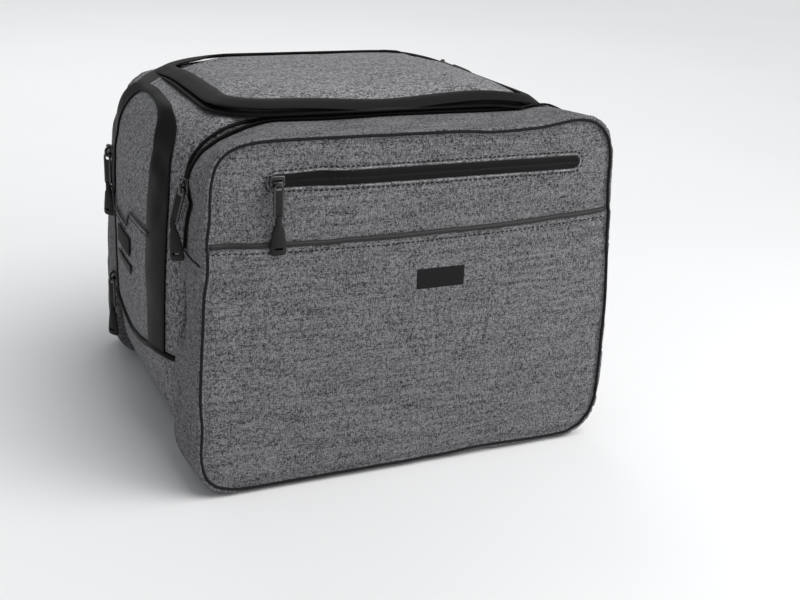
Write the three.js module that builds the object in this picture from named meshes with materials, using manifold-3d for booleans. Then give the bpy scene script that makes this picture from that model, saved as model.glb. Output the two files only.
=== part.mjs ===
// A zipped trunk bag with a side pocket on each long side, in heather canvas with black coated zips.
// Millimetres, +Z up, the bag's length along X, the near side pocket towards -Y.
// The origin is on the floor below the middle of the bag, which stands on its two side pockets.
import * as THREE from "three";
import Module from "manifold-3d";
import { mergeVertices } from "three/addons/utils/BufferGeometryUtils.js";

const wasm = await Module();
wasm.setup();

// Driving sizes
const TRUNK_LENGTH = 310; // end face to end face, where it is longest
const TRUNK_WIDTH = 188; // between the two side pockets
const TRUNK_CORNER = 24; // radius of the trunk's upright corners
const BASE_LIFT = 18; // the trunk's base above the pockets' feet
const POCKET_LENGTH = 300; // along the foot of the front seam
const POCKET_HEIGHT = 238; // floor to the top of the front seam
const POCKET_DEPTH = 46; // trunk side to front seam
const TOP_RISE = 3; // trunk top above the front seam's top
const FRONT_TOP_RADIUS = 24; // front seam's upper corners
const REAR_TOP_RADIUS = 44; // the same corners where the pocket meets the trunk
const FOOT_RADIUS = 24; // the pocket's lower corners
const FOOT_ROLL = 2.5; // how far the foot's two edges roll up
const FLAT_FOOT = 0.4; // share of the pocket's depth where its foot is flat
const CANVAS = 2.4; // padded canvas wall
const LAYER = 1.6; // a single layer of canvas or tape sewn on
const GAP = 0.3; // clearance between two pieces that touch
const SEWN = 0.7; // clearance under a piece sewn on to a curved face
const END_BULGE = 4; // how far an end face swells in its middle
const PANEL_CROWN = 3.5; // how far a front panel swells in its middle

// Lid
const LID_LENGTH = 226;
const LID_WIDTH = 180;
const LID_CORNER = 27;
const LID_EDGE = 5; // height of the lid's side
const LID_CROWN = 4.5; // rise of its middle above that side
const MOUTH_LEDGE = 8; // ring of the trunk's top that the lid lies on
const TAPE_REACH = 11; // zip tape, out from the lid's side
const FLAP_REACH = 7; // storm flap, out from the lid's side
const FLAP_LAP = 4; // storm flap, in over the lid

// Seam round the trunk's foot, above which the end panels start
const SEAM_HEIGHT = 47; // above the trunk's base, in the middle of an end
const SEAM_RISE = 12; // more than that at the upright corners
const PIPING = 2.6;

// Zip round each end panel
const ARCH_HALF_WIDTH = 75; // middle of the bag to the middle of the tape
const ARCH_DROP = 9; // top of the trunk to the middle of the tape
const ARCH_RADIUS = 46;
const ARCH_TAPE = 12.5;

// Patch pocket on the left end
const PATCH_HALF_WIDTH = 64;
const PATCH_DROP = 92; // its upper edge below the trunk's top
const NOTCH_DEPTH = 9;
const NOTCH_HALF_WIDTH = 20;
const END_LABEL = { width: 40, height: 13, drop: 105 };
const LIGHT_LOOP = { width: 44, height: 8, drop: 121 };

// Front of a side pocket
const POCKET_LINE_DROP = 68; // the lower panel's upper edge below the front seam's top
const POCKET_LINE_SAG = 3.5; // how far that edge hangs between its two ends
const POCKET_LINE_TILT = 1.4; // how far its right end lies above the middle for that
const LINE_PIPING = 3.8;
const WINDOW = { left: -103, right: 115.5, height: 9.6, drop: 26.8 };
const WINDOW_TAPE = 1; // thickness of its coated tape
const FRONT_LABEL = { left: -3.7, right: 31.2, height: 14, drop: 97.2 };
const GUSSET_TAPE = 7.5; // width of the zip tape round the pocket's top
const GUSSET_TAPE_INSET = 6; // its middle, forward of the trunk's side
const GUSSET_ZIP_DROP = 78; // its two ends below the front seam's top
const GUSSET_PULL_DROP = 33; // its slider below the front seam's top
const END_PULL_DROPS = { upper: 58, lower: 155 }; // the end zip's sliders below the trunk's top

// Zip pulls: a slider, a wire ring and a moulded grip
const SLIDER = { width: 7, length: 10, thickness: 3.4 };
const EAR = { width: 2.4, length: 5, thickness: 4.6 };
const RING = { width: 6.8, length: 27, rail: 1.5, thickness: 1.8 };
const NECK = { width: 2.4, length: 5.4, thickness: 4.4 };
const GRIP = { top: 7, bottom: 10, length: 17, thickness: 3.2 };

// Mesh steps
const CORNER_STEPS = 5;
const LONG_STEPS = 3; // along a straight side in X
const SHORT_STEPS = 6; // along a straight side in Y or Z
const ARCH_STEPS = 13;
const TAPE_STEPS = 4; // across the arch's tape

// The trunk's profile, foot to top, as shares of its height, length and width
const TRUNK_PROFILE = [
  { height: 0, length: 0.9, width: 0.9 },
  { height: 0.012, length: 0.94, width: 0.96 },
  { height: 0.05, length: 0.97, width: 0.99 },
  { height: 0.15, length: 0.99, width: 1 },
  { height: 0.5, length: 1, width: 1 },
  { height: 0.76, length: 0.995, width: 1 },
  { height: 0.89, length: 0.982, width: 1 },
  { height: 0.95, length: 0.963, width: 1 },
  { height: 0.975, length: 0.943, width: 0.997 },
  { height: 0.99, length: 0.905, width: 0.988 },
  { height: 1, length: 0.8, width: 0.97 },
];

// A pocket's two ends, foot to top, as shares of its height and of half its length: they pinch in
// behind, halfway up, where the gusset folds against the trunk
const POCKET_PROFILE = [
  { height: 0, front: 1, rear: 1.01 },
  { height: 0.17, front: 0.988, rear: 1.02 },
  { height: 0.34, front: 0.975, rear: 0.995 },
  { height: 0.47, front: 0.965, rear: 0.955 },
  { height: 0.6, front: 0.955, rear: 0.945 },
  { height: 0.8, front: 0.94, rear: 0.938 },
  { height: 1, front: 0.925, rear: 0.93 },
];

const TRUNK_TOP = POCKET_HEIGHT + TOP_RISE;
const TRUNK_SIDE = TRUNK_WIDTH / 2;
const POCKET_REAR = TRUNK_SIDE + GAP;
const POCKET_FRONT = POCKET_REAR + POCKET_DEPTH;

const clamp = THREE.MathUtils.clamp;
const lerp = THREE.MathUtils.lerp;
const smooth = (t) => THREE.MathUtils.smoothstep(t, 0, 1);

// Reads one column of a table at a height share, in straight steps between its rows.
function column(table, name, height) {
  const t = clamp(height, 0, 1);
  const i = Math.max(1, table.findIndex((row) => row.height >= t));
  const [low, high] = [table[i - 1], table[i]];
  return lerp(low[name], high[name], (t - low.height) / (high.height - low.height));
}

// Meshes

// Joins rings of as many points each into one closed body. The first and last ring are capped, or
// joined to each other where the rings go round a hollow.
function loft(rings, round = false) {
  const count = rings[0].length;
  const points = rings.flat();
  const faces = [];
  const spans = round ? rings.length : rings.length - 1;
  for (let i = 0; i < spans; i++) {
    const a = i * count;
    const b = ((i + 1) % rings.length) * count;
    for (let j = 0; j < count; j++) {
      const k = (j + 1) % count;
      faces.push([a + j, a + k, b + k], [a + j, b + k, b + j]);
    }
  }
  if (!round) {
    for (const [start, flip] of [[0, true], [(rings.length - 1) * count, false]]) {
      const ring = points.slice(start, start + count);
      const middle = ring.reduce((sum, p) => sum.add(p), new THREE.Vector3()).divideScalar(count);
      points.push(middle);
      for (let j = 0; j < count; j++) {
        const pair = [start + j, start + ((j + 1) % count)];
        if (flip) pair.reverse();
        faces.push([...pair, points.length - 1]);
      }
    }
  }
  return outward(meshOf(points, faces));
}

// A sheet over a grid of places: place(row, column, out) gives the point on its under or upper face.
function sheet(rows, columns, place) {
  const points = [];
  const faces = [];
  const at = (i, j, top) => 2 * (i * columns + j) + (top ? 1 : 0);
  for (let i = 0; i < rows; i++)
    for (let j = 0; j < columns; j++) points.push(place(i, j, 0), place(i, j, 1));
  const quad = (a, b, c, d) => faces.push([a, b, c], [a, c, d]);
  for (let i = 0; i < rows - 1; i++)
    for (let j = 0; j < columns - 1; j++) {
      quad(at(i, j, 1), at(i, j + 1, 1), at(i + 1, j + 1, 1), at(i + 1, j, 1));
      quad(at(i, j, 0), at(i + 1, j, 0), at(i + 1, j + 1, 0), at(i, j + 1, 0));
    }
  for (let j = 0; j < columns - 1; j++) {
    quad(at(0, j, 0), at(0, j + 1, 0), at(0, j + 1, 1), at(0, j, 1));
    quad(at(rows - 1, j, 1), at(rows - 1, j + 1, 1), at(rows - 1, j + 1, 0), at(rows - 1, j, 0));
  }
  for (let i = 0; i < rows - 1; i++) {
    quad(at(i, 0, 1), at(i + 1, 0, 1), at(i + 1, 0, 0), at(i, 0, 0));
    quad(at(i, columns - 1, 0), at(i + 1, columns - 1, 0), at(i + 1, columns - 1, 1), at(i, columns - 1, 1));
  }
  return outward(meshOf(points, faces));
}

function meshOf(points, faces) {
  const made = new THREE.BufferGeometry().setFromPoints(points);
  made.setIndex(faces.flat());
  return made;
}

// Turns a closed body's faces outwards.
function outward(made) {
  const p = made.attributes.position;
  const index = made.index.array;
  const [a, b, c] = [new THREE.Vector3(), new THREE.Vector3(), new THREE.Vector3()];
  let volume = 0;
  for (let i = 0; i < index.length; i += 3) {
    a.fromBufferAttribute(p, index[i]);
    b.fromBufferAttribute(p, index[i + 1]);
    c.fromBufferAttribute(p, index[i + 2]);
    volume += a.dot(b.cross(c));
  }
  if (volume < 0)
    for (let i = 0; i < index.length; i += 3) [index[i + 1], index[i + 2]] = [index[i + 2], index[i + 1]];
  return made;
}

// Joins or cuts closed bodies.
function combine(how, first, ...others) {
  const solids = [first, ...others].map((made) => {
    const bare = new THREE.BufferGeometry().setAttribute("position", made.attributes.position);
    if (made.index) bare.setIndex(made.index);
    const merged = mergeVertices(bare, 1e-4);
    return new wasm.Manifold(new wasm.Mesh({
      numProp: 3,
      vertProperties: merged.attributes.position.array,
      triVerts: new Uint32Array(merged.index.array),
    }));
  });
  const result = solids.reduce((whole, next) => whole[how](next)).getMesh();
  const made = new THREE.BufferGeometry();
  made.setAttribute("position", new THREE.BufferAttribute(result.vertProperties, 3));
  made.setIndex(new THREE.BufferAttribute(result.triVerts, 1));
  return made;
}

// Points of a rectangle with round corners, with a few steps along its long and its short sides.
function roundedOutline(left, right, low, high, lowRadius, highRadius) {
  const corners = [
    { x: right, y: low, radius: lowRadius, start: -90 },
    { x: right, y: high, radius: highRadius, start: 0 },
    { x: left, y: high, radius: highRadius, start: 90 },
    { x: left, y: low, radius: lowRadius, start: 180 },
  ];
  const arcs = corners.map(({ x, y, radius, start }) => {
    const [cx, cy] = [x - Math.sign(x - left - (right - left) / 2) * radius,
      y - Math.sign(y - low - (high - low) / 2) * radius];
    return Array.from({ length: CORNER_STEPS + 1 }, (_, i) => {
      const angle = THREE.MathUtils.degToRad(start + (90 * i) / CORNER_STEPS);
      return new THREE.Vector2(cx + radius * Math.cos(angle), cy + radius * Math.sin(angle));
    });
  });
  return arcs.flatMap((arc, i) => {
    const next = arcs[(i + 1) % arcs.length][0];
    const last = arc[arc.length - 1];
    const steps = i % 2 ? LONG_STEPS : SHORT_STEPS;
    const side = Array.from({ length: steps - 1 }, (_, k) => last.clone().lerp(next, (k + 1) / steps));
    return [...arc, ...side];
  });
}

// Trunk

// Heights of the trunk's rings, as shares, close together where the shoulder turns in.
const SHOULDER_LEVELS = [0.5, 0.76, 0.89, 0.925, 0.95, 0.965, 0.975, 0.983, 0.99, 0.995, 1];
const lengthCurve = new THREE.CubicInterpolant(
  TRUNK_PROFILE.map((row) => row.height), TRUNK_PROFILE.map((row) => row.length), 1, [0]);

const trunkShare = (z) => (z - BASE_LIFT) / (TRUNK_TOP - BASE_LIFT);
const trunkHeight = (share) => lerp(BASE_LIFT, TRUNK_TOP, share);
const trunkHalfLength = (z) => (lengthCurve.evaluate(clamp(trunkShare(z), 0, 1))[0] * TRUNK_LENGTH) / 2;
const trunkHalfWidth = (z) => column(TRUNK_PROFILE, "width", trunkShare(z)) * TRUNK_SIDE;

// How far an end face stands out at a place on it.
function endSwell(y, z) {
  const across = Math.cos((Math.PI / 2) * clamp(y / ARCH_HALF_WIDTH, -1, 1)) ** 2;
  return END_BULGE * across * Math.sin(Math.PI * clamp(trunkShare(z), 0, 1));
}

// Distance of an end face from the middle of the bag.
function endReach(y, z) {
  const past = Math.max(0, Math.abs(y) - trunkHalfWidth(z) + TRUNK_CORNER);
  const drop = TRUNK_CORNER - Math.sqrt(Math.max(0, TRUNK_CORNER ** 2 - past ** 2));
  return trunkHalfLength(z) - drop + endSwell(y, z);
}

// A place on an end face, side -1 left or 1 right, lifted off it by some millimetres.
function endStation(side, y, z) {
  const step = 0.5;
  const slopeY = (endReach(y + step, z) - endReach(y - step, z)) / (2 * step);
  const slopeZ = (endReach(y, z + step) - endReach(y, z - step)) / (2 * step);
  const off = new THREE.Vector3(side, -slopeY, -slopeZ).normalize();
  return { point: new THREE.Vector3(side * endReach(y, z), y, z), off };
}

function endPoint(side, y, z, lift) {
  const { point, off } = endStation(side, y, z);
  return point.addScaledVector(off, lift);
}

// Height of the seam round the trunk's foot.
function seamHeight(y) {
  return BASE_LIFT + SEAM_HEIGHT + SEAM_RISE * smooth(Math.abs(y) / ARCH_HALF_WIDTH);
}

// A ring of the trunk at a height of its own for each place, inset from its outer face.
function trunkRing(heightAt, inset) {
  const shape = roundedOutline(-1, 1, -1, 1, 0.25, 0.25);
  return shape.map(({ x, y }) => {
    const z = heightAt(y * TRUNK_SIDE);
    const [length, width] = [trunkHalfLength(z) - inset, trunkHalfWidth(z) - inset];
    const radius = TRUNK_CORNER - inset;
    const plan = onRounded(x, y, length, width, radius);
    const end = smooth((Math.abs(plan.x) / length - 0.8) / 0.2);
    plan.x += Math.sign(plan.x) * endSwell(plan.y, z) * end;
    return new THREE.Vector3(plan.x, plan.y, z);
  });
}

// Moves a point of the unit outline to the same place on a rounded rectangle of another size.
function onRounded(x, y, halfLength, halfWidth, radius) {
  const unit = 0.25;
  const [cx, cy] = [Math.max(0, Math.abs(x) - 1 + unit) / unit, Math.max(0, Math.abs(y) - 1 + unit) / unit];
  const [sx, sy] = [Math.min(1, Math.abs(x) / (1 - unit)), Math.min(1, Math.abs(y) / (1 - unit))];
  return new THREE.Vector2(
    Math.sign(x) * (sx * (halfLength - radius) + cx * radius),
    Math.sign(y) * (sy * (halfWidth - radius) + cy * radius));
}


function trunkFoot() {
  const low = TRUNK_PROFILE.slice(0, 4).map((row) => row.height);
  const shares = [...low, 0.18];
  const outer = shares.map((share) => trunkRing(() => trunkHeight(share), 0));
  outer.push(trunkRing((y) => seamHeight(y) - GAP / 2, 0));
  const inner = [trunkRing((y) => seamHeight(y) - GAP / 2, CANVAS)];
  for (const share of [0.15, 0.05]) inner.push(trunkRing(() => trunkHeight(share), CANVAS));
  inner.push(trunkRing(() => BASE_LIFT + CANVAS, CANVAS));
  return loft([...outer, ...inner]);
}

function trunkWalls() {
  const outer = [trunkRing((y) => seamHeight(y) + GAP / 2, 0)];
  for (const share of SHOULDER_LEVELS) outer.push(trunkRing(() => trunkHeight(share), 0));
  const [length, width] = [LID_LENGTH / 2 - MOUTH_LEDGE, LID_WIDTH / 2 - MOUTH_LEDGE];
  const mouth = (z) => roundedOutline(-length, length, -width, width, LID_CORNER, LID_CORNER)
    .map(({ x, y }) => new THREE.Vector3(x, y, z));
  const inner = [mouth(TRUNK_TOP), mouth(TRUNK_TOP - CANVAS)];
  for (const share of [0.95, 0.76, 0.5]) inner.push(trunkRing(() => trunkHeight(share), CANVAS));
  inner.push(trunkRing((y) => seamHeight(y) + GAP / 2, CANVAS));
  return loft([...outer, ...inner], true);
}

// Half the width of an end panel's arch at a height, for an arch line inset from the tape's middle.
function archHalfWidth(z, inset) {
  const top = TRUNK_TOP - ARCH_DROP - inset;
  const radius = ARCH_RADIUS - inset;
  const past = clamp(z - (top - radius), 0, radius);
  return ARCH_HALF_WIDTH - inset - radius + Math.sqrt(radius ** 2 - past ** 2);
}

function endPanel(side) {
  const inset = ARCH_TAPE / 2 + GAP;
  const radius = ARCH_RADIUS - inset;
  const spring = TRUNK_TOP - ARCH_DROP - ARCH_RADIUS;
  const foot = seamHeight(ARCH_HALF_WIDTH) + PIPING;
  const heights = [foot, lerp(foot, spring, 0.35), lerp(foot, spring, 0.7), spring];
  for (const turn of [20, 38, 52, 64, 75, 90])
    heights.push(spring + radius * Math.sin(THREE.MathUtils.degToRad(turn)));
  const columns = 9;
  return sheet(heights.length, columns, (i, j, upper) => {
    const across = (2 * j) / (columns - 1) - 1;
    const y = across * archHalfWidth(heights[i], inset);
    const z = i === 0 ? seamHeight(y) + PIPING : heights[i];
    return endPoint(side, y, z, SEWN + upper * LAYER);
  });
}

// The zip tape round an end panel: up one side, over the top and down the other.
function endZip(side) {
  const spring = TRUNK_TOP - ARCH_DROP - ARCH_RADIUS;
  const foot = seamHeight(ARCH_HALF_WIDTH) + PIPING;
  const half = [0, 0.35, 0.7].map((share) => [-ARCH_HALF_WIDTH, lerp(foot, spring, share)]);
  for (let i = 0; i <= ARCH_STEPS; i++) {
    const angle = Math.PI - (Math.PI / 2) * (i / ARCH_STEPS);
    half.push([ARCH_RADIUS - ARCH_HALF_WIDTH + ARCH_RADIUS * Math.cos(angle),
      spring + ARCH_RADIUS * Math.sin(angle)]);
  }
  const other = half.map(([y, z]) => [-y, z]).reverse();
  return endBand(side, [...half, [0, spring + ARCH_RADIUS], ...other], ARCH_TAPE, TAPE_STEPS, LAYER);
}

// A band laid along a line of places [y, z] on an end face, following the face across its width.
function endBand(side, line, width, steps, thickness) {
  return sheet(line.length, steps + 1, (i, j, upper) => {
    const [ahead, behind] = [line[Math.min(i + 1, line.length - 1)], line[Math.max(i - 1, 0)]];
    const along = new THREE.Vector2(ahead[0] - behind[0], ahead[1] - behind[1]).normalize();
    const across = (j / steps - 0.5) * width;
    return endPoint(side, line[i][0] - along.y * across, line[i][1] + along.x * across,
      SEWN + upper * thickness);
  });
}

// Piping over the seam, across an end face and round most of both upright corners.
function footPiping(side) {
  const flat = TRUNK_SIDE - TRUNK_CORNER;
  const half = [0, 0.25, 0.5, 0.75, 1].map((share) => share * flat);
  for (const turn of [10, 20, 30, 40, 50])
    half.push(flat + TRUNK_CORNER * Math.sin(THREE.MathUtils.degToRad(turn)));
  const line = [...half.slice(1).reverse().map((y) => -y), ...half].map((y) => [y, seamHeight(y)]);
  return endBand(side, line, PIPING, 1, PIPING);
}

// Patch pocket on the left end, with its label and a loop for a lamp's clip

const PATCH_LIFT = SEWN + LAYER + GAP;

function patchPocket() {
  const places = [-1, -0.7, -0.45, -0.33, -0.28, 0, 0.28, 0.33, 0.45, 0.7, 1];
  const shares = [0, 0.35, 0.7, 1];
  return sheet(shares.length, places.length, (i, j, upper) => {
    const y = places[j] * PATCH_HALF_WIDTH;
    const inNotch = 1 - smooth((Math.abs(y) - NOTCH_HALF_WIDTH * 0.9) / (NOTCH_HALF_WIDTH * 0.15));
    const high = TRUNK_TOP - PATCH_DROP - NOTCH_DEPTH * inNotch;
    const z = lerp(seamHeight(y) + PIPING + 1, high, shares[i]);
    return endPoint(-1, y, z, PATCH_LIFT + upper * LAYER);
  });
}

function endTab({ width, height, drop }, thickness) {
  const columns = 5;
  const lift = PATCH_LIFT + LAYER + GAP;
  return sheet(2, columns, (i, j, upper) => {
    const y = (j / (columns - 1) - 0.5) * width;
    const z = TRUNK_TOP - drop - i * height;
    return endPoint(-1, y, z, lift + upper * thickness);
  });
}

// Lid, its zip tape and the storm flap over the zip

const LID_BASE = TRUNK_TOP + GAP;
const LID_TOP = LID_BASE + LID_EDGE;

// A ring round the lid, out from its side, or in from it where out is negative.
function lidRing(out, z) {
  const [length, width] = [LID_LENGTH / 2 + out, LID_WIDTH / 2 + out];
  const radius = Math.max(LID_CORNER + out, 2);
  return roundedOutline(-length, length, -width, width, radius, radius)
    .map(({ x, y }) => new THREE.Vector3(x, y, z));
}

function lid() {
  const dome = [
    { inset: 0, rise: 0 },
    { inset: 0.04, rise: 0.28 },
    { inset: 0.25, rise: 0.72 },
    { inset: 0.65, rise: 1 },
  ];
  const reach = LID_WIDTH / 2;
  const outer = dome.map(({ inset, rise }) => lidRing(-inset * reach, LID_TOP + rise * LID_CROWN));
  const under = dome.map(({ inset, rise }) =>
    lidRing(-CANVAS - inset * (reach - CANVAS), LID_TOP - CANVAS + rise * LID_CROWN));
  return loft([...under.reverse(), lidRing(-CANVAS, LID_BASE), lidRing(0, LID_BASE), ...outer]);
}

const TAPE_INNER = 0.5; // zip tape off the lid's side
const TAPE_FALL = 3; // the tape's inner edge above its outer one
const FLAP_RISE = 2; // the flap's inner edge above the lid's side

// Height of the tape's upper face at a distance out from the lid's side.
function tapeTop(out) {
  return LID_BASE + GAP + LAYER + (TAPE_FALL * (TAPE_REACH - out)) / (TAPE_REACH - TAPE_INNER);
}

// A strip round the lid between two distances out, each at its own height.
function lidStrip(outer, outerTop, inner, innerTop) {
  return loft([
    lidRing(outer, outerTop - LAYER),
    lidRing(outer, outerTop),
    lidRing(inner, innerTop),
    lidRing(inner, innerTop - LAYER),
  ], true);
}

const lidTape = () => lidStrip(TAPE_REACH, tapeTop(TAPE_REACH), TAPE_INNER, tapeTop(TAPE_INNER));

// The storm flap rests on the tape outside and on the lid inside.
function stormFlap() {
  const outerTop = tapeTop(FLAP_REACH) + GAP + LAYER;
  return lidStrip(FLAP_REACH, outerTop, -FLAP_LAP, LID_TOP + FLAP_RISE + GAP + LAYER);
}

// Side pocket, drawn on the near side

// The pocket's outline at a depth share, 0 at the trunk and 1 at the front seam. Its foot is flat
// over the middle of its depth.
function pocketOutline(depth, inset) {
  const roll = FOOT_ROLL * Math.max(0, (Math.abs(2 * depth - 1) - FLAT_FOOT) / (1 - FLAT_FOOT)) ** 2;
  const top = POCKET_HEIGHT + (TOP_RISE - LAYER - 2 * GAP) * (1 - depth);
  const topRadius = lerp(REAR_TOP_RADIUS, FRONT_TOP_RADIUS, smooth(depth));
  const half = POCKET_LENGTH / 2 - inset;
  return roundedOutline(-half, half, roll + inset, top - inset, FOOT_RADIUS - inset, topRadius - inset)
    .map(({ x, y: z }) => {
      const share = z / POCKET_HEIGHT;
      const end = lerp(column(POCKET_PROFILE, "rear", share), column(POCKET_PROFILE, "front", share),
        smooth(depth));
      return new THREE.Vector2(x * end, z);
    });
}

const pocketY = (depth) => -lerp(POCKET_REAR, POCKET_FRONT, depth);
const pocketRing = (depth, inset) =>
  pocketOutline(depth, inset).map(({ x, y: z }) => new THREE.Vector3(x, pocketY(depth), z));

function gusset() {
  const flat = [0.5 - FLAT_FOOT / 2, 0.5 + FLAT_FOOT / 2];
  const outer = [0, 0.1, ...flat, 0.93, 1].map((depth) => pocketRing(depth, 0));
  const inner = [1, ...flat, 0].sort((a, b) => b - a).map((depth) => pocketRing(depth, CANVAS));
  return loft([...outer, ...inner], true);
}

// Height of the pocket's upper edge on the lower panel.
function pocketLine(x) {
  const share = (2 * x) / POCKET_LENGTH;
  return POCKET_HEIGHT - POCKET_LINE_DROP + POCKET_LINE_SAG * share ** 2 + POCKET_LINE_TILT * share;
}

// How far the front panel stands towards the viewer.
function panelY(x, z, lift) {
  const across = 1 - clamp((2 * x) / POCKET_LENGTH, -1, 1) ** 4;
  const up = Math.sin(Math.PI * clamp(z / POCKET_HEIGHT, 0, 1));
  return -(POCKET_FRONT - CANVAS + PANEL_CROWN * across * up + lift);
}

const EDGE = CANVAS + GAP; // the panel's edge in from the gusset's outer face

// Rings of a panel's outline drawn in towards its middle, on the panel's face.
function panelRings(outline, middle, shares, lift) {
  return shares.map((share) => outline.map(({ x, y: z }) => {
    const [px, pz] = [x * share, lerp(middle, z, share)];
    return new THREE.Vector3(px, panelY(px, pz, lift), pz);
  }));
}

const PANEL_SHARES = [0.35, 0.75, 1];

function frontPanel() {
  const outline = pocketOutline(1, EDGE);
  const middle = POCKET_HEIGHT / 2;
  const back = panelRings(outline, middle, PANEL_SHARES, 0);
  const face = panelRings(outline, middle, PANEL_SHARES, CANVAS).reverse();
  return loft([...back, ...face]);
}

// The pocket's back, against the trunk's side.
function backPanel() {
  const outline = pocketOutline(0, EDGE);
  return loft([0, CANVAS].map((depth) =>
    outline.map(({ x, y: z }) => new THREE.Vector3(x, -POCKET_REAR - depth, z))));
}

function lowerPanel() {
  const outline = pocketOutline(1, EDGE).map(({ x, y: z }) => new THREE.Vector2(x, Math.min(z, pocketLine(x))));
  const middle = (POCKET_HEIGHT - POCKET_LINE_DROP) / 2;
  const lift = CANVAS + GAP;
  const back = panelRings(outline, middle, PANEL_SHARES, lift);
  const face = panelRings(outline, middle, PANEL_SHARES, lift + LAYER).reverse();
  return loft([...back, ...face]);
}

// A strip on the front panel between two places along it, around a line of heights.
function panelStrip(left, right, heightAt, height, lift, thickness, columns) {
  return sheet(2, columns, (i, j, upper) => {
    const x = lerp(left, right, j / (columns - 1));
    const z = heightAt(x) + (i - 0.5) * height;
    return new THREE.Vector3(x, panelY(x, z, lift + upper * thickness), z);
  });
}

function linePiping() {
  const reach = outlineReach(1, POCKET_HEIGHT - POCKET_LINE_DROP) - EDGE - PIPING;
  const height = (x) => pocketLine(x) + LINE_PIPING / 2 + GAP;
  return panelStrip(-reach, reach, height, LINE_PIPING, CANVAS + GAP, LAYER + 0.6, 13);
}

function zipWindow() {
  const height = () => POCKET_HEIGHT - WINDOW.drop;
  return panelStrip(WINDOW.left, WINDOW.right, height, WINDOW.height, CANVAS + GAP, WINDOW_TAPE, 9);
}

function frontLabel() {
  const height = () => POCKET_HEIGHT - FRONT_LABEL.drop;
  const lift = CANVAS + GAP + LAYER + GAP;
  return panelStrip(FRONT_LABEL.left, FRONT_LABEL.right, height, FRONT_LABEL.height, lift, 0.8, 4);
}

// The zip tape round the pocket's top, close to the trunk.
function gussetZip() {
  const low = POCKET_HEIGHT - GUSSET_ZIP_DROP;
  const depths = [-0.5, 0, 0.5].map((side) => (GUSSET_TAPE_INSET + side * GUSSET_TAPE) / POCKET_DEPTH);
  const line = (depth, lift) => {
    const above = pocketOutline(depth, -lift).filter(({ y: z }) => z > low);
    const reach = outlineReach(depth, low) + lift;
    return [new THREE.Vector2(reach, low), ...above, new THREE.Vector2(-reach, low)];
  };
  const lines = depths.map((depth) => [line(depth, SEWN), line(depth, SEWN + LAYER)]);
  return sheet(lines[0][0].length, depths.length, (i, j, upper) => {
    const { x, y: z } = lines[j][upper][i];
    return new THREE.Vector3(x, pocketY(depths[j]), z);
  });
}

// Half the pocket's length at a depth share and a height on its straight ends.
function outlineReach(depth, z) {
  const share = z / POCKET_HEIGHT;
  const end = lerp(column(POCKET_PROFILE, "rear", share), column(POCKET_PROFILE, "front", share), smooth(depth));
  return (end * POCKET_LENGTH) / 2;
}

// Zip pulls, drawn hanging down, with the surface behind them at y = 0 and the viewer towards -Y

const block = (width, depth, height, x, y, z) =>
  new THREE.BoxGeometry(width, depth, height).translate(x, y, z);

// An upright loop with round ends, its outer width and length given, centred below z = 0.
function stadium(width, length) {
  const radius = width / 2;
  const shape = new THREE.Shape();
  shape.absarc(0, -radius, radius, 0, Math.PI, false);
  shape.absarc(0, -length + radius, radius, Math.PI, 2 * Math.PI, false);
  return shape;
}

const RING_STAND = EAR.thickness / 2 + SLIDER.thickness; // the ring's middle off the surface
const RING_TOP = -(EAR.length - RING.rail) / 2;
const RING_FOOT = RING_TOP - RING.length;

// The ring's end bar, with the room that its curve takes across an ear or a neck of some width.
function barHeight(width) {
  const radius = RING.width / 2 - RING.rail;
  return RING.rail + radius - Math.sqrt(radius ** 2 - (width / 2) ** 2);
}

// The hole for the ring's end bar, from the bar's outer edge in towards the ring's middle.
function barHole(width, edge, inward) {
  const height = barHeight(width);
  return block(width * 2, RING.thickness + 2 * GAP, height + 2 * GAP, 0, -RING_STAND, edge + (inward * height) / 2);
}

function slider() {
  const body = block(SLIDER.width, SLIDER.thickness, SLIDER.length, 0, -SLIDER.thickness / 2 - GAP, 0);
  const ear = block(EAR.width, EAR.thickness + GAP, EAR.length, 0, -RING_STAND, -EAR.length / 2);
  return combine("subtract", combine("add", body, ear), barHole(EAR.width, RING_TOP, -1));
}

function ring() {
  const shape = stadium(RING.width, RING.length);
  const hole = stadium(RING.width - 2 * RING.rail, RING.length - 2 * RING.rail).getPoints(4);
  shape.holes.push(new THREE.Path(hole.map((p) => p.setY(p.y - RING.rail))));
  const made = new THREE.ExtrudeGeometry(shape, { depth: RING.thickness, bevelEnabled: false, curveSegments: 4 });
  return made.rotateX(Math.PI / 2).translate(0, -RING_STAND + RING.thickness / 2, RING_TOP);
}

function grip() {
  const neckTop = RING_FOOT + RING.rail + GAP + NECK.length / 2;
  const neck = block(NECK.width, NECK.thickness, NECK.length, 0, -RING_STAND, neckTop - NECK.length / 2);
  const eye = barHole(NECK.width, RING_FOOT, 1);
  const shape = new THREE.Shape();
  const [top, bottom] = [GRIP.top / 2, GRIP.bottom / 2];
  shape.moveTo(-NECK.width / 2, 0);
  shape.quadraticCurveTo(-top, 0, -top, -top);
  shape.lineTo(-bottom, -GRIP.length + bottom / 2);
  shape.quadraticCurveTo(-bottom, -GRIP.length, 0, -GRIP.length);
  shape.quadraticCurveTo(bottom, -GRIP.length, bottom, -GRIP.length + bottom / 2);
  shape.lineTo(top, -top);
  shape.quadraticCurveTo(top, 0, NECK.width / 2, 0);
  const made = new THREE.ExtrudeGeometry(shape, { depth: GRIP.thickness, bevelEnabled: false, curveSegments: 3 });
  made.rotateX(Math.PI / 2).translate(0, -RING_STAND + GRIP.thickness / 2, neckTop - NECK.length + GAP);
  return combine("add", combine("subtract", neck, eye), made);
}

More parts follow.
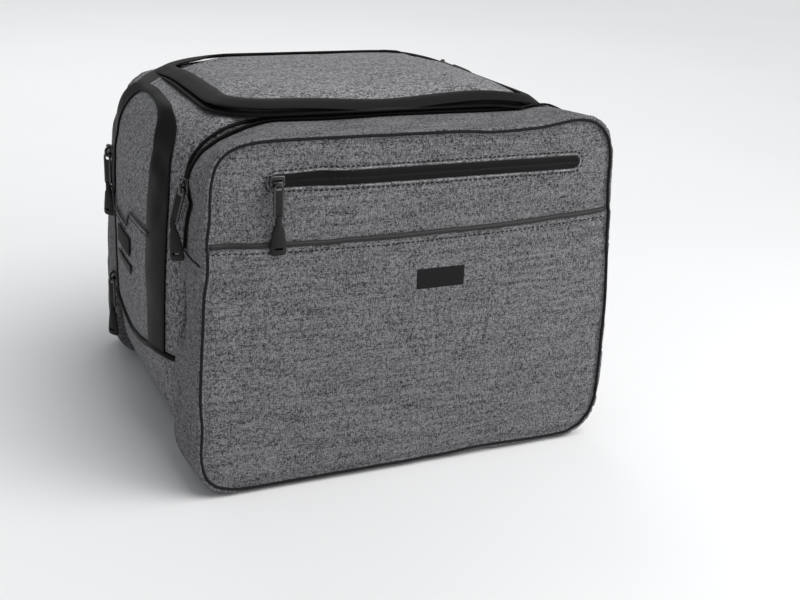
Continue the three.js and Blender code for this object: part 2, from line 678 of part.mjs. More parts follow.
// Colours and finishes
const MATERIALS = {
  canvas: new THREE.MeshStandardMaterial({ color: 0x6f7072, roughness: 0.95, metalness: 0 }),
  tape: new THREE.MeshStandardMaterial({ color: 0x1b1c1d, roughness: 0.55, metalness: 0 }),
  piping: new THREE.MeshStandardMaterial({ color: 0x2c2d2e, roughness: 0.7, metalness: 0 }),
  metal: new THREE.MeshStandardMaterial({ color: 0x141414, roughness: 0.25, metalness: 0.8 }),
  rubber: new THREE.MeshStandardMaterial({ color: 0x1a1a1a, roughness: 0.6, metalness: 0 }),
  label: new THREE.MeshStandardMaterial({ color: 0x101011, roughness: 0.8, metalness: 0 }),
};

const bag = new THREE.Group();

function piece(name, geometry, material, parent = bag) {
  const mesh = new THREE.Mesh(geometry, MATERIALS[material]);
  mesh.name = name;
  parent.add(mesh);
  return mesh;
}

// Places one zip pull at a point on a zip: out is the way off the zip, down the way that it hangs.
function pull(name, point, out, down, parent = bag) {
  const holder = new THREE.Group();
  const y = out.clone().normalize().negate();
  const x = y.clone().cross(down.clone().negate()).normalize();
  const z = x.clone().cross(y);
  holder.matrixAutoUpdate = false;
  holder.matrix.makeBasis(x, y, z).setPosition(point);
  piece(name + "_slider", slider(), "metal", holder);
  piece(name + "_ring", ring(), "metal", holder);
  piece(name + "_grip", grip(), "rubber", holder);
  parent.add(holder);
}

const DOWN = new THREE.Vector3(0, 0, -1);
const TOWARDS_VIEWER = new THREE.Vector3(0, -1, 0);
const LEFT = new THREE.Vector3(-1, 0, 0);

piece("trunk_foot", trunkFoot(), "canvas");
piece("trunk_walls", trunkWalls(), "canvas");
piece("lid", lid(), "canvas");
piece("lid_zip_tape", lidTape(), "tape");
piece("lid_storm_flap", stormFlap(), "tape");

for (const [name, side] of [["left", -1], ["right", 1]]) {
  piece(name + "_end_panel", endPanel(side), "canvas");
  piece(name + "_end_zip", endZip(side), "tape");
  piece(name + "_foot_piping", footPiping(side), "piping");
}
piece("left_patch_pocket", patchPocket(), "canvas");
piece("left_end_label", endTab(END_LABEL, 0.8), "label");
piece("left_lamp_loop", endTab(LIGHT_LOOP, 1.2), "piping");

for (const [name, side] of [["near", 1], ["far", -1]]) {
  const pocket = new THREE.Group();
  pocket.scale.y = side;
  bag.add(pocket);
  piece(name + "_gusset", gusset(), "canvas", pocket);
  piece(name + "_front_panel", frontPanel(), "canvas", pocket);
  piece(name + "_lower_panel", lowerPanel(), "canvas", pocket);
  piece(name + "_line_piping", linePiping(), "piping", pocket);
  piece(name + "_zip_window", zipWindow(), "tape", pocket);
  piece(name + "_gusset_zip", gussetZip(), "tape", pocket);
  const windowZ = POCKET_HEIGHT - WINDOW.drop;
  const frontX = WINDOW.left + SLIDER.width;
  const front = new THREE.Vector3(frontX, panelY(frontX, windowZ, CANVAS + GAP + WINDOW_TAPE), windowZ);
  pull(name + "_front", front, TOWARDS_VIEWER, DOWN, pocket);
  piece(name + "_pocket_back", backPanel(), "canvas", pocket);
}
piece("near_label", frontLabel(), "label");

// The near pocket's slider stops on the left of its gusset.
const gussetDepth = GUSSET_TAPE_INSET / POCKET_DEPTH;
const gussetZ = POCKET_HEIGHT - GUSSET_PULL_DROP;
const gussetX = outlineReach(gussetDepth, gussetZ) + SEWN + LAYER;
pull("near_gusset", new THREE.Vector3(-gussetX, pocketY(gussetDepth), gussetZ), LEFT, DOWN);

// Two sliders run on the left end's zip, both stopped on its far leg.
for (const [name, drop] of Object.entries(END_PULL_DROPS)) {
  const z = TRUNK_TOP - drop;
  const tape = endPoint(-1, ARCH_HALF_WIDTH, z, SEWN + LAYER + GAP);
  pull("left_end_" + name, tape, LEFT, DOWN);
}

// The lid's slider stops on its right side, with the pull lying along the lid's edge.
const besideFlap = FLAP_REACH + 2 * GAP;
const lidPull = new THREE.Vector3(LID_LENGTH / 2 + besideFlap + SLIDER.width / 2,
  LID_WIDTH / 2 - LID_CORNER - SLIDER.length / 2, tapeTop(besideFlap));
pull("lid", lidPull, new THREE.Vector3(0, 0, 1), TOWARDS_VIEWER);

export default bag;
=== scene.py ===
import math

import bpy
from mathutils import Matrix, Vector
from mathutils.kdtree import KDTree


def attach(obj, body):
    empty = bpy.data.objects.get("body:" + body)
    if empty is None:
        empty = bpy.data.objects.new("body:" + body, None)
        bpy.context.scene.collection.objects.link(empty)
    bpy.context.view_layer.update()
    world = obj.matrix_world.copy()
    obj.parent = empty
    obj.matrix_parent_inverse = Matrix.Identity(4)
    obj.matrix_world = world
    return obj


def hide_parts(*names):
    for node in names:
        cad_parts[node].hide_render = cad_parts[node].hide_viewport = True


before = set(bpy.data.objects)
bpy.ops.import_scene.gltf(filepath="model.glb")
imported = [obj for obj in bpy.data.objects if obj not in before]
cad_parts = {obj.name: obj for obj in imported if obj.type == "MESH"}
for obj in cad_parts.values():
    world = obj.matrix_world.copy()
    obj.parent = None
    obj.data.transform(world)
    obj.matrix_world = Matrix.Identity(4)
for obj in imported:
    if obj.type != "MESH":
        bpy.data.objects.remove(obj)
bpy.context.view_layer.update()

# Studio: a plain pale floor under the bag, a pale room, a very soft sun from above the near side, soft
# lamps on the right and behind, and a camera at the photograph's viewing angle.

EYE = Vector((-0.32076, -0.80020, 0.40858))
YAW, PITCH, ROLL = (math.radians(angle) for angle in (25.093, 21.266, 3.0))
LENS, SENSOR = 53.48, 36
LIGHTS = [
    {"name": "right", "at": (0.6, -0.62, 0.5), "size": 0.6, "watts": 3},
    {"name": "back", "at": (0.2, 1.3, 1.5), "size": 1.2, "watts": 6},
]
SUN_FROM, SUN_STRENGTH, SUN_SPREAD = Vector((0.42, -0.42, 0.94)), 1.92, math.radians(50)
ROOM_COLOUR, ROOM_STRENGTH = (0.95, 0.97, 1, 1), 0.36


def view_matrix(eye, yaw, pitch, roll):
    ahead = Vector((math.sin(yaw), math.cos(yaw), 0))
    right = Vector((math.cos(yaw), -math.sin(yaw), 0))
    up = Vector((0, 0, 1))
    look = ahead * math.cos(pitch) - up * math.sin(pitch)
    rise = up * math.cos(pitch) + ahead * math.sin(pitch)
    side = right * math.cos(roll) + rise * math.sin(roll)
    top = rise * math.cos(roll) - right * math.sin(roll)
    return Matrix.Translation(eye) @ Matrix((side, top, -look)).transposed().to_4x4()


camera = bpy.data.objects.new("camera", bpy.data.cameras.new("camera"))
camera.data.sensor_width = SENSOR
camera.data.lens = LENS
camera.data.clip_start = 0.01
camera.matrix_world = view_matrix(EYE, YAW, PITCH, ROLL)
bpy.context.scene.collection.objects.link(camera)
bpy.context.scene.camera = camera
bpy.context.scene.view_settings.view_transform = "Standard"

for each in LIGHTS:
    lamp = bpy.data.objects.new(each["name"], bpy.data.lights.new(each["name"], "AREA"))
    lamp.data.energy = each["watts"]
    lamp.data.size = each["size"]
    lamp.location = each["at"]
    towards = Vector((0, 0, 0.1)) - lamp.location
    lamp.rotation_euler = towards.to_track_quat("-Z", "Y").to_euler()
    bpy.context.scene.collection.objects.link(lamp)

sun = bpy.data.objects.new("key", bpy.data.lights.new("key", "SUN"))
sun.data.energy = SUN_STRENGTH
sun.data.angle = SUN_SPREAD
sun.rotation_euler = (-SUN_FROM).to_track_quat("-Z", "Y").to_euler()
bpy.context.scene.collection.objects.link(sun)

room = bpy.data.worlds.new("room")
room.use_nodes = True
background = room.node_tree.nodes["Background"]
background.inputs["Color"].default_value = ROOM_COLOUR
background.inputs["Strength"].default_value = ROOM_STRENGTH
bpy.context.scene.world = room


def node(tree, kind, settings=(), **inputs):
    """Adds a shader node. Inputs are values, or sockets to link from; _0 and _1 number them."""
    made = tree.nodes.new("ShaderNode" + kind)
    for name, value in dict(settings).items():
        setattr(made, name, value)
    for name, value in inputs.items():
        key = int(name[1:]) if name[1:].isdigit() else name.replace("_", " ")
        if isinstance(value, bpy.types.NodeSocket):
            tree.links.new(value, made.inputs[key])
        else:
            made.inputs[key].default_value = value
    return made


def sums(tree, operation, a, b, c=0.0):
    """A math node's result."""
    return node(tree, "Math", {"operation": operation}, _0=a, _1=b, _2=c).outputs[0]


def finish_of(name, **inputs):
    """A material with a Principled shader and an empty tree round it."""
    made = bpy.data.materials.new(name)
    made.use_nodes = True
    shader = made.node_tree.nodes["Principled BSDF"]
    for key, value in inputs.items():
        shader.inputs[key.replace("_", " ")].default_value = value
    return made, made.node_tree, shader


def toned(tree, shader, level, dark, light):
    """Colours a shader between two tones, by a level from 0 to 1."""
    ramp = node(tree, "ValToRGB", Fac=level)
    for element, tone in zip(ramp.color_ramp.elements, (dark, light)):
        element.color = (*tone, 1)
    tree.links.new(ramp.outputs["Color"], shader.inputs["Base Color"])


bpy.ops.mesh.primitive_plane_add(size=14)
floor = bpy.context.object
floor.name = "floor"
pale, tree, shader = finish_of("pale floor", Roughness=0.9)
coordinates = node(tree, "TexCoord").outputs["Object"]
mottle = node(tree, "TexNoise", Vector=coordinates, Scale=3.0, Detail=3.0).outputs["Fac"]
toned(tree, shader, mottle, (0.84, 0.84, 0.84), (0.88, 0.88, 0.88))
floor.data.materials.append(pale)

# Trunk: one padded canvas body, its foot sewn on below a seam. It is blown up a little between its
# seams, held where the two side pockets and the lid lie against it.

MM = 0.001
TRUNK_VOXEL = 5 * MM
TRUNK_TOP = 241 * MM
TRUNK_SIDE = 94 * MM
BASE = 18 * MM
PRESSURE = 4
FRAMES = 20


def only(*pieces):
    """Selects these pieces and nothing else."""
    bpy.ops.object.select_all(action="DESELECT")
    for each in pieces:
        each.select_set(True)
    bpy.context.view_layer.objects.active = pieces[0]


def finished(piece, kind, **settings):
    """Adds a modifier and applies it."""
    only(piece)
    modifier = piece.modifiers.new(kind, kind)
    for name, value in settings.items():
        setattr(modifier, name, value)
    bpy.ops.object.modifier_apply(modifier=modifier.name)


def filled_copy(name, *nodes):
    """A new piece that fills the outer shape of some CAD nodes."""
    copies = []
    for each in nodes:
        made = bpy.data.objects.new(name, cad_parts[each].data.copy())
        bpy.context.scene.collection.objects.link(made)
        copies.append(made)
    only(*copies)
    if len(copies) > 1:
        bpy.ops.object.join()
    piece = copies[0]
    piece.name = name
    piece.data.materials.clear()
    bpy.ops.object.mode_set(mode="EDIT")
    bpy.ops.mesh.select_all(action="SELECT")
    bpy.ops.mesh.remove_doubles(threshold=0.01 * MM)
    bpy.ops.mesh.convex_hull()
    bpy.ops.object.mode_set(mode="OBJECT")
    return piece


def remeshed(piece, voxel, inset):
    """Gives a soft piece an even mesh, drawn in by the room that its filling takes."""
    only(piece)
    piece.data.remesh_voxel_size = voxel
    bpy.ops.object.voxel_remesh()
    bpy.ops.object.mode_set(mode="EDIT")
    bpy.ops.mesh.select_all(action="SELECT")
    bpy.ops.transform.shrink_fatten(value=-inset)
    bpy.ops.object.mode_set(mode="OBJECT")


def filled(piece, held, cap):
    """Blows a soft piece up from inside. held(point) is true where a seam or a neighbour holds it."""
    before = [v.co.copy() for v in piece.data.vertices]
    group = piece.vertex_groups.new(name="held")
    group.add([i for i, place in enumerate(before) if held(place)], 1, "REPLACE")
    cloth = piece.modifiers.new("Cloth", "CLOTH")
    cloth.settings.use_pressure = True
    cloth.settings.uniform_pressure_force = PRESSURE
    cloth.settings.effector_weights.gravity = 0
    cloth.settings.vertex_group_mass = group.name
    cloth.point_cache.frame_start = 1
    cloth.point_cache.frame_end = FRAMES
    for i in range(1, FRAMES + 1):
        bpy.context.scene.frame_set(i)
    only(piece)
    bpy.ops.object.modifier_apply(modifier=cloth.name)
    piece.vertex_groups.clear()
    for v, old in zip(piece.data.vertices, before):
        step = v.co - old
        if step.length > cap:
            v.co = old + step * (cap / step.length)


def waves(piece, size, height, name):
    """Uneven cloth: broad shallow swellings of a given size and height."""
    texture = bpy.data.textures.new(name, "CLOUDS")
    texture.noise_scale = size
    texture.noise_depth = 2
    finished(piece, "DISPLACE", texture=texture, texture_coords="LOCAL", strength=height, mid_level=0.5)


def spaced(line, step):
    """A line's points again, at even steps."""
    whole = sum((b - a).length for a, b in zip(line, line[1:]))
    count = max(2, round(whole / step))
    made, i, behind = [line[0]], 0, 0
    for k in range(1, count):
        want = whole * k / count
        while behind + (line[i + 1] - line[i]).length < want:
            behind += (line[i + 1] - line[i]).length
            i += 1
        leg = line[i + 1] - line[i]
        made.append(line[i] + leg * ((want - behind) / leg.length))
    return [*made, line[-1]]


def pressed(piece, line, width, depth, where=lambda place: True):
    """Presses a fold into a soft piece along a line of points, or raises it for a negative depth."""
    fold = spaced(line, 0.8 * MM)
    tree = KDTree(len(fold))
    for i, p in enumerate(fold):
        tree.insert(p, i)
    tree.balance()
    gaps = [tree.find(v.co)[2] for v in piece.data.vertices]
    moves = [(v.index, v.normal * depth * math.exp(-((gap / width) ** 2)))
             for v, gap in zip(piece.data.vertices, gaps) if gap < 3 * width and where(v.co)]
    for i, move in moves:
        piece.data.vertices[i].co -= move


def points(*rows):
    """Places given in millimetres."""
    return [Vector(row) * MM for row in rows]


trunk = filled_copy("trunk_body", "trunk_walls", "trunk_foot")
remeshed(trunk, TRUNK_VOXEL, 0.8 * MM)


def trunk_held(place):
    beside = abs(place.y) > TRUNK_SIDE - 3 * MM
    below = place.z < BASE + 4 * MM
    under_lid = place.z > TRUNK_TOP - 4 * MM
    return beside or below or under_lid


filled(trunk, trunk_held, 2.5 * MM)

# the corners of the top: tight across the middle of each end, wide along the sides, low on the right
TIGHT, WIDE = 16 * MM, 42 * MM
END_MIDDLE, END_SIDE = 156.5 * MM, 147 * MM
DROOP, DROOP_FROM, DROOP_REACH, FAR_DROOP = 10 * MM, 55 * MM, 65 * MM, 1.8 * MM


def eased(value, low, high):
    share = min(1, max(0, (value - low) / (high - low)))
    return share * share * (3 - 2 * share)


def droop(x, y):
    """How far the trunk's top and the lid hang down, at their right end and a little on the far side."""
    at_right = DROOP * min(1.2, max(0, x - DROOP_FROM) / DROOP_REACH) ** 2
    return at_right + FAR_DROOP * eased(y, 30 * MM, 90 * MM)


for v in trunk.data.vertices:
    share = eased(abs(v.co.y), 20 * MM, 90 * MM)
    corner = TIGHT + (WIDE - TIGHT) * share
    middle_x = END_MIDDLE + (END_SIDE - END_MIDDLE) * share - corner
    middle_z = TRUNK_TOP - corner
    out_x, out_z = abs(v.co.x) - middle_x, v.co.z - middle_z
    far = math.hypot(out_x, out_z)
    if out_x > 0 and out_z > 0 and far > corner:
        v.co.x = math.copysign(middle_x + out_x * corner / far, v.co.x)
        v.co.z = middle_z + out_z * corner / far
    v.co.z -= droop(v.co.x, v.co.y) * eased(v.co.z, 150 * MM, 225 * MM)
finished(trunk, "SUBSURF", levels=1, render_levels=1)
waves(trunk, 60 * MM, 2.4 * MM, "trunk waves")
for v in trunk.data.vertices:
    v.co.y = max(-TRUNK_SIDE, min(TRUNK_SIDE, v.co.y))
    v.co.z = max(BASE, min(TRUNK_TOP, v.co.z))


def cloth_threads():
    """Threads of light and dark fibre, woven along all three axes. Scale is threads per metre."""
    group = bpy.data.node_groups.new("heather threads", "ShaderNodeTree")
    for name, kind, value in [
            ("Dark", "Color", (0.05, 0.05, 0.05, 1)), ("Light", "Color", (0.4, 0.4, 0.4, 1)),
            ("Scale", "Float", 1250.0), ("Slub", "Float", 0.2)]:
        socket = group.interface.new_socket(name, in_out="INPUT", socket_type="NodeSocket" + kind)
        socket.default_value = value
    for name, kind in [("Color", "Color"), ("Height", "Float")]:
        group.interface.new_socket(name, in_out="OUTPUT", socket_type="NodeSocket" + kind)
    tree = group
    given = tree.nodes.new("NodeGroupInput").outputs
    place = node(tree, "TexCoord").outputs["Object"]
    scaled = node(tree, "VectorMath", {"operation": "SCALE"}, Vector=place, Scale=given["Scale"]).outputs[0]
    threads = []
    for i in range(3):
        stretch = [1.0, 1.0, 1.0]
        stretch[i] = 0.35
        along = node(tree, "Mapping", Vector=scaled, Scale=stretch, Location=(7.1 * i, 3.7 * i, 1.3 * i))
        threads.append(node(tree, "TexNoise", Vector=along.outputs[0], Scale=1.0, Detail=2.0,
                            Roughness=0.75).outputs["Fac"])
    both = sums(tree, "ADD", threads[0], threads[1])
    mean = sums(tree, "MULTIPLY", sums(tree, "ADD", both, threads[2]), 1 / 3)
    slow = node(tree, "Mapping", Vector=scaled, Scale=(0.03, 0.1, 0.35))
    slub = node(tree, "TexNoise", Vector=slow.outputs[0], Scale=1.0, Detail=2.0).outputs["Fac"]
    uneven = sums(tree, "MULTIPLY", sums(tree, "SUBTRACT", slub, 0.5), given["Slub"])
    level = sums(tree, "ADD", mean, uneven)
    mask = node(tree, "MapRange", Value=level, From_Min=0.41, From_Max=0.59)
    colour = node(tree, "Mix", {"data_type": "RGBA"}, Factor=mask.outputs[0])
    tree.links.new(given["Dark"], colour.inputs[6])
    tree.links.new(given["Light"], colour.inputs[7])
    out = tree.nodes.new("NodeGroupOutput")
    tree.links.new(colour.outputs[2], out.inputs["Color"])
    tree.links.new(mask.outputs[0], out.inputs["Height"])
    return group


threads = cloth_threads()


def bumped(tree, shader, height, strength, distance):
    """Gives a shader a fine relief."""
    bump = node(tree, "Bump", Strength=strength, Distance=distance, Height=height)
    tree.links.new(bump.outputs[0], shader.inputs["Normal"])


def canvas_of(name, dark, light, slub, scale):
    """Heather canvas: light and dark threads, matt, with a soft sheen along its edges."""
    made, tree, shader = finish_of(name, Roughness=0.95, Sheen_Weight=0.05, Sheen_Roughness=0.5)
    shader.inputs["Specular IOR Level"].default_value = 0.1
    weave = tree.nodes.new("ShaderNodeGroup")
    weave.node_tree = threads
    weave.inputs["Dark"].default_value = (*dark, 1)
    weave.inputs["Light"].default_value = (*light, 1)
    weave.inputs["Slub"].default_value = slub
    weave.inputs["Scale"].default_value = scale
    tree.links.new(weave.outputs["Color"], shader.inputs["Base Color"])
    bumped(tree, shader, weave.outputs["Height"], 0.5, 0.3 * MM)
    return made


def smooth(piece, angle=40):
    only(piece)
    bpy.ops.object.shade_smooth_by_angle(angle=math.radians(angle))


def joins(piece, slot, *nodes):
    """The piece belongs to the bag and stands for some CAD nodes. slot is not used."""
    piece.data.name = piece.name
    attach(piece, "root")
    if nodes:
        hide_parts(*nodes)


def dressed(piece, finish, slot, *nodes, angle=40):
    """Gives a finished piece its material and smooth shading, and makes it part of the bag."""
    piece.data.materials.append(finish)
    smooth(piece, angle)
    joins(piece, slot, *nodes)


trunk_canvas = canvas_of("heather trunk canvas", (0.026, 0.026, 0.028), (0.33, 0.33, 0.343), 0.06, 860)
dressed(trunk, trunk_canvas, "canvas", "trunk_walls", "trunk_foot", "left_end_panel", "right_end_panel",
        angle=180)

# Side pockets: a flat padded box of canvas on each long side. A gusset runs round between the front
# and the back, its rear edge folded in halfway up, and the lower front is a second layer sewn over.

POCKET_VOXEL = 4 * MM
POCKET_REAR = 94.3 * MM
POCKET_FRONT = 140.3 * MM
POCKET_HEIGHT = 238 * MM
POCKET_HALF = 150 * MM
LINE_DROP, LINE_SAG, LINE_TILT = 68 * MM, 3.5 * MM, 1.4 * MM
LAYER = 1.6 * MM


def pocket_line(x):
    """Height of the lower panel's upper edge."""
    share = x / POCKET_HALF
    return POCKET_HEIGHT - LINE_DROP + LINE_SAG * share ** 2 + LINE_TILT * share


pocket = filled_copy("near_pocket_body", "near_gusset", "near_front_panel", "near_pocket_back")
remeshed(pocket, POCKET_VOXEL, 0.5 * MM)


def outline_of(node_name, plane, reach=0.5 * MM):
    """The outer line of a CAD node's corners in an upright plane, closed, from the right end round."""
    corners = [v.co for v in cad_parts[node_name].data.vertices]
    flat = [(place.x, place.z) for place in corners if abs(place.y - plane) < reach]
    middle = POCKET_HEIGHT / 2
    rays = {}
    for x, z in flat:
        turn = round(math.atan2(z - middle, x), 2)
        rays[turn] = max(rays.get(turn, (0, 0, 0)), (math.hypot(x, z - middle), x, z))
    return [Vector((rays[turn][1], plane, rays[turn][2])) for turn in sorted(rays)]


def softened(line, times=2, closed=False):
    """Rounds the corners of a line of points."""
    for _ in range(times):
        pairs = list(zip(line, line[1:] + line[:1] if closed else line[1:]))
        cut = [p for a, b in pairs for p in (a.lerp(b, 0.25), a.lerp(b, 0.75))]
        line = cut if closed else [line[0], *cut, line[-1]]
    return line


front_outline = softened(outline_of("near_gusset", -POCKET_FRONT), 2, True)


def near_line(line, place):
    return min((place - p).length for p in line)


def pocket_held(place):
    at_back = place.y > -POCKET_REAR - 5 * MM
    on_foot = place.z < 3 * MM
    return at_back or on_foot or near_line(front_outline, place) < 4.5 * MM


filled(pocket, pocket_held, 3 * MM)

# how far the pocket bellies out sideways at a height, on its left and on its right
BELLY = [(0, 0, 0), (18, 0.5, 1.5), (42, 1.5, 5), (91, 2.5, 6.5), (145, 2.5, 4.5), (192, 2, 3.5),
         (217, 1, 3), (238, 0, 1), (260, 0, 1)]
BELLY_FROM, BELLY_REACH = 90, 50
DRAWN_IN, RAISED = 9, 4.5


def bellied(place):
    """Where a place on the pocket goes as it bellies out and its rear upper corners change."""
    z = max(0, place.z / MM)
    for (low, left, right), (high, left_up, right_up) in zip(BELLY, BELLY[1:]):
        if low <= z <= high:
            share = (z - low) / (high - low)
            wide = right + (right_up - right) * share if place.x > 0 else left + (left_up - left) * share
    corner = eased(abs(place.x), 85 * MM, 122 * MM) * eased(place.z, 178 * MM, 226 * MM)
    out = wide * min(1, max(0, abs(place.x) / MM - BELLY_FROM) / BELLY_REACH)
    if place.x < 0:
        rise = -DRAWN_IN * corner * eased(place.y, -136 * MM, -104 * MM)
        out += rise
    else:
        rise = RAISED * corner * (1 - 0.8 * eased(place.x, 126 * MM, 148 * MM))
    return place + Vector((math.copysign(out * MM, place.x), 0, rise * MM))


for v in pocket.data.vertices:
    v.co = bellied(v.co)
front_outline = [bellied(p) for p in front_outline]
finished(pocket, "SUBSURF", levels=1, render_levels=1)
waves(pocket, 55 * MM, 1.5 * MM, "pocket waves")


def at_left(place):
    return place.x < -0.12


# the gusset's rear edge, pinched in halfway up
pressed(pocket, points((-150, -97, 128), (-146, -100, 117), (-146, -103, 106)), 10 * MM, 6.5 * MM, at_left)
pressed(pocket, points((-70, -140, 216), (-94, -140, 202), (-128, -140, 178)), 11 * MM, 4 * MM)
pressed(pocket, points((-128, -140, 150), (-120, -140, 120), (-124, -140, 84)), 12 * MM, 1.6 * MM)
middle_of_front = Vector((0, -POCKET_FRONT, POCKET_HEIGHT / 2))
inner_line = [p + (middle_of_front - p).normalized() * 4.5 * MM for p in front_outline]
pressed(pocket, [*inner_line, inner_line[0]], 2.2 * MM, 1.3 * MM)
pressed(pocket, [*front_outline, front_outline[0]], 2.6 * MM, -1.3 * MM)
facing = [v.normal.y for v in pocket.data.vertices]
for v, towards in zip(pocket.data.vertices, facing):
    if v.co.y < -POCKET_FRONT + 6 * MM and v.co.z < pocket_line(v.co.x) and towards < -0.8:
        v.co.y -= LAYER
    v.co.y = min(-POCKET_REAR, v.co.y)
    v.co.z = max(0, v.co.z)
canvas = canvas_of("heather canvas", (0.018, 0.018, 0.019), (0.25, 0.25, 0.26), 0.12, 1150)
dressed(pocket, canvas, "canvas", "near_gusset", "near_front_panel", "near_pocket_back", "near_lower_panel",
        angle=180)


SLACK = 12 * MM


def slack(place):
    """The far pocket is empty: its top sinks and draws in, most of all at its corners."""
    x, y, z = place
    drop = SLACK * eased(z, 120 * MM, 235 * MM) * (0.35 + 0.65 * eased(abs(x), 60 * MM, 140 * MM))
    return Vector((x * (1 - 0.06 * eased(z, 90 * MM, 220 * MM)), y, z - drop))


def mirrored(piece, name):
    """The same piece on the far side, gone slack."""
    made = bpy.data.objects.new(name, piece.data.copy())
    bpy.context.scene.collection.objects.link(made)
    only(made)
    bpy.ops.object.mode_set(mode="EDIT")
    bpy.ops.mesh.select_all(action="SELECT")
    bpy.ops.transform.mirror(constraint_axis=(False, True, False), center_override=(0, 0, 0))
    bpy.ops.mesh.flip_normals()
    bpy.ops.object.mode_set(mode="OBJECT")
    for v in made.data.vertices:
        v.co = slack(v.co)
    return made


far_pocket = mirrored(pocket, "far_pocket_body")
smooth(far_pocket, 180)
joins(far_pocket, "canvas", "far_gusset", "far_front_panel", "far_pocket_back", "far_lower_panel")

# Lid: a padded panel of the same canvas, coloured lighter, partly its own lighter tone and partly painted
# sheen of its top seen at a low angle, lying on the trunk's top. It leans a little towards the far side,
# sags in the middle of its near edge and hangs down at its right end.

LID_VOXEL = 3.5 * MM
LID_HALF_LENGTH, LID_HALF_WIDTH, LID_CORNER = 113 * MM, 90 * MM, 27 * MM
LID_BASE = 241.3 * MM
LID_LEAN, LID_SAG, LID_SAG_AT, LID_SAG_REACH, LID_CORNER_DROP = 1.4 * MM, 3.6 * MM, -8 * MM, 42 * MM, 5 * MM

lid = filled_copy("lid_pad", "lid")
remeshed(lid, LID_VOXEL, 0.5 * MM)
filled(lid, lambda place: place.z < LID_BASE + 2.5 * MM, 2.5 * MM)
finished(lid, "SUBSURF", levels=1, render_levels=1)
waves(lid, 50 * MM, 1.6 * MM, "lid waves")


def lid_lift(x, y):
    """How far the lid's edge stands above its usual height at a place."""
    towards_near = -y / LID_HALF_WIDTH
    sag = LID_SAG * math.exp(-(((x - LID_SAG_AT) / LID_SAG_REACH) ** 2)) * max(0, towards_near) ** 2
    return LID_LEAN * towards_near - sag


def lid_base(x, y):
    """Height of the trunk's top under the lid and its zip."""
    corner = LID_CORNER_DROP * eased(-x, 60 * MM, 122 * MM) * eased(y, 0, 90 * MM)
    return LID_BASE - droop(x, y) - corner


for v in lid.data.vertices:
    share = max(0, min(1, (v.co.z - LID_BASE) / (5 * MM)))
    rise = max(0, v.co.z - LID_BASE + share * lid_lift(v.co.x, v.co.y))
    v.co.z = lid_base(v.co.x, v.co.y) + rise
# the lid's canvas is lighter: partly its own tone, partly painted sheen of its top seen at a low angle
lid_canvas = canvas_of("heather lid canvas, lighter with painted sheen", (0.035, 0.035, 0.037), (0.37, 0.37, 0.38), 0.05, 800)
dressed(lid, lid_canvas, "lid_canvas", "lid", angle=180)

# Zip round each end panel: a band of coated tape, a tall arch that runs from the foot's seam up one
# side, over the shoulder and down the other, sewn flat on to the canvas.

ARCH_INNER = [(157, -49.5, 76), (157.7, -49, 125), (157, -53.5, 168), (155.5, -58.5, 195), (152, -55.5, 216),
              (146, -49, 234), (142, -17, 237), (142, 9, 238), (144.5, 23, 234.5), (152, 36, 220.5),
              (156, 43.5, 201), (157.5, 46, 170), (157.7, 48.5, 130), (157, 50, 76)]
ARCH_OUTER = [(153.4, -75.5, 79), (151, -78.5, 140), (149.5, -79.5, 180), (146, -80.5, 213),
              (139.5, -67.5, 234), (137, -37, 239), (134.5, 0, 239), (135, 23, 239), (140.5, 39.5, 236.5),
              (146.5, 53.5, 224.5), (150.5, 62.5, 209), (153, 66.5, 190), (154, 68.5, 140), (154, 69, 79)]


def ribbon(name, rows, thickness, closed=False):
    """A strip of tape: rows of points across it, given along it, then its thickness outwards."""
    bpy.ops.object.select_all(action="DESELECT")
    bpy.ops.mesh.primitive_grid_add(x_subdivisions=len(rows[0]) - 1, y_subdivisions=len(rows) - 1, size=2)
    piece = bpy.context.object
    piece.name = name
    for v in piece.data.vertices:
        i = round((v.co.x + 1) / 2 * (len(rows[0]) - 1))
        j = round((v.co.y + 1) / 2 * (len(rows) - 1))
        v.co = rows[j][i]
    if closed:
        bpy.ops.object.mode_set(mode="EDIT")
        bpy.ops.mesh.select_all(action="SELECT")
        bpy.ops.mesh.remove_doubles(threshold=0.01 * MM)
        bpy.ops.object.mode_set(mode="OBJECT")
    finished(piece, "SOLIDIFY", thickness=thickness, offset=1)
    finished(piece, "BEVEL", width=0.35 * MM, segments=2, limit_method="ANGLE", angle_limit=1)
    return piece


def on_end(side, y, z, lift):
    """A place on an end face of the trunk, lifted off it."""
    _, place, normal, _ = trunk.ray_cast(Vector((side * 0.25, y, z)), Vector((-side, 0, 0)))
    return place + normal * lift


def on_trunk(place, lift):
    """The place on the trunk nearest to a point, lifted off it."""
    _, at, normal, _ = trunk.closest_point_on_mesh(place)
    return at + normal * lift


def band_on_trunk(name, inner, outer, lift, thickness, count, steps=10):
    """Tape laid on the trunk between two lines."""
    edges = [softened(line, 2) for line in (inner, outer)]
    edges = [spaced(line, sum((b - a).length for a, b in zip(line, line[1:])) / count) for line in edges]
    rows = [[on_trunk(a.lerp(b, j / steps), lift) for j in range(steps + 1)] for a, b in zip(*edges)]
    return ribbon(name, rows, thickness)


def tape_finish():
    """Coated tape: satin black with the fine pebble of its coating."""
    made, tree, shader = finish_of("coated tape", Roughness=0.55)
    shader.inputs["Specular IOR Level"].default_value = 0.1
    place = node(tree, "TexCoord").outputs["Object"]
    pebble = node(tree, "TexVoronoi", Vector=place, Scale=1500.0)
    smear = node(tree, "TexNoise", Vector=place, Scale=60.0, Detail=4.0).outputs["Fac"]
    toned(tree, shader, smear, (0.004, 0.004, 0.004), (0.008, 0.008, 0.0082))
    rough = node(tree, "MapRange", Value=smear, To_Min=0.42, To_Max=0.62)
    tree.links.new(rough.outputs[0], shader.inputs["Roughness"])
    bumped(tree, shader, pebble.outputs["Distance"], 0.25, 0.15 * MM)
    return made


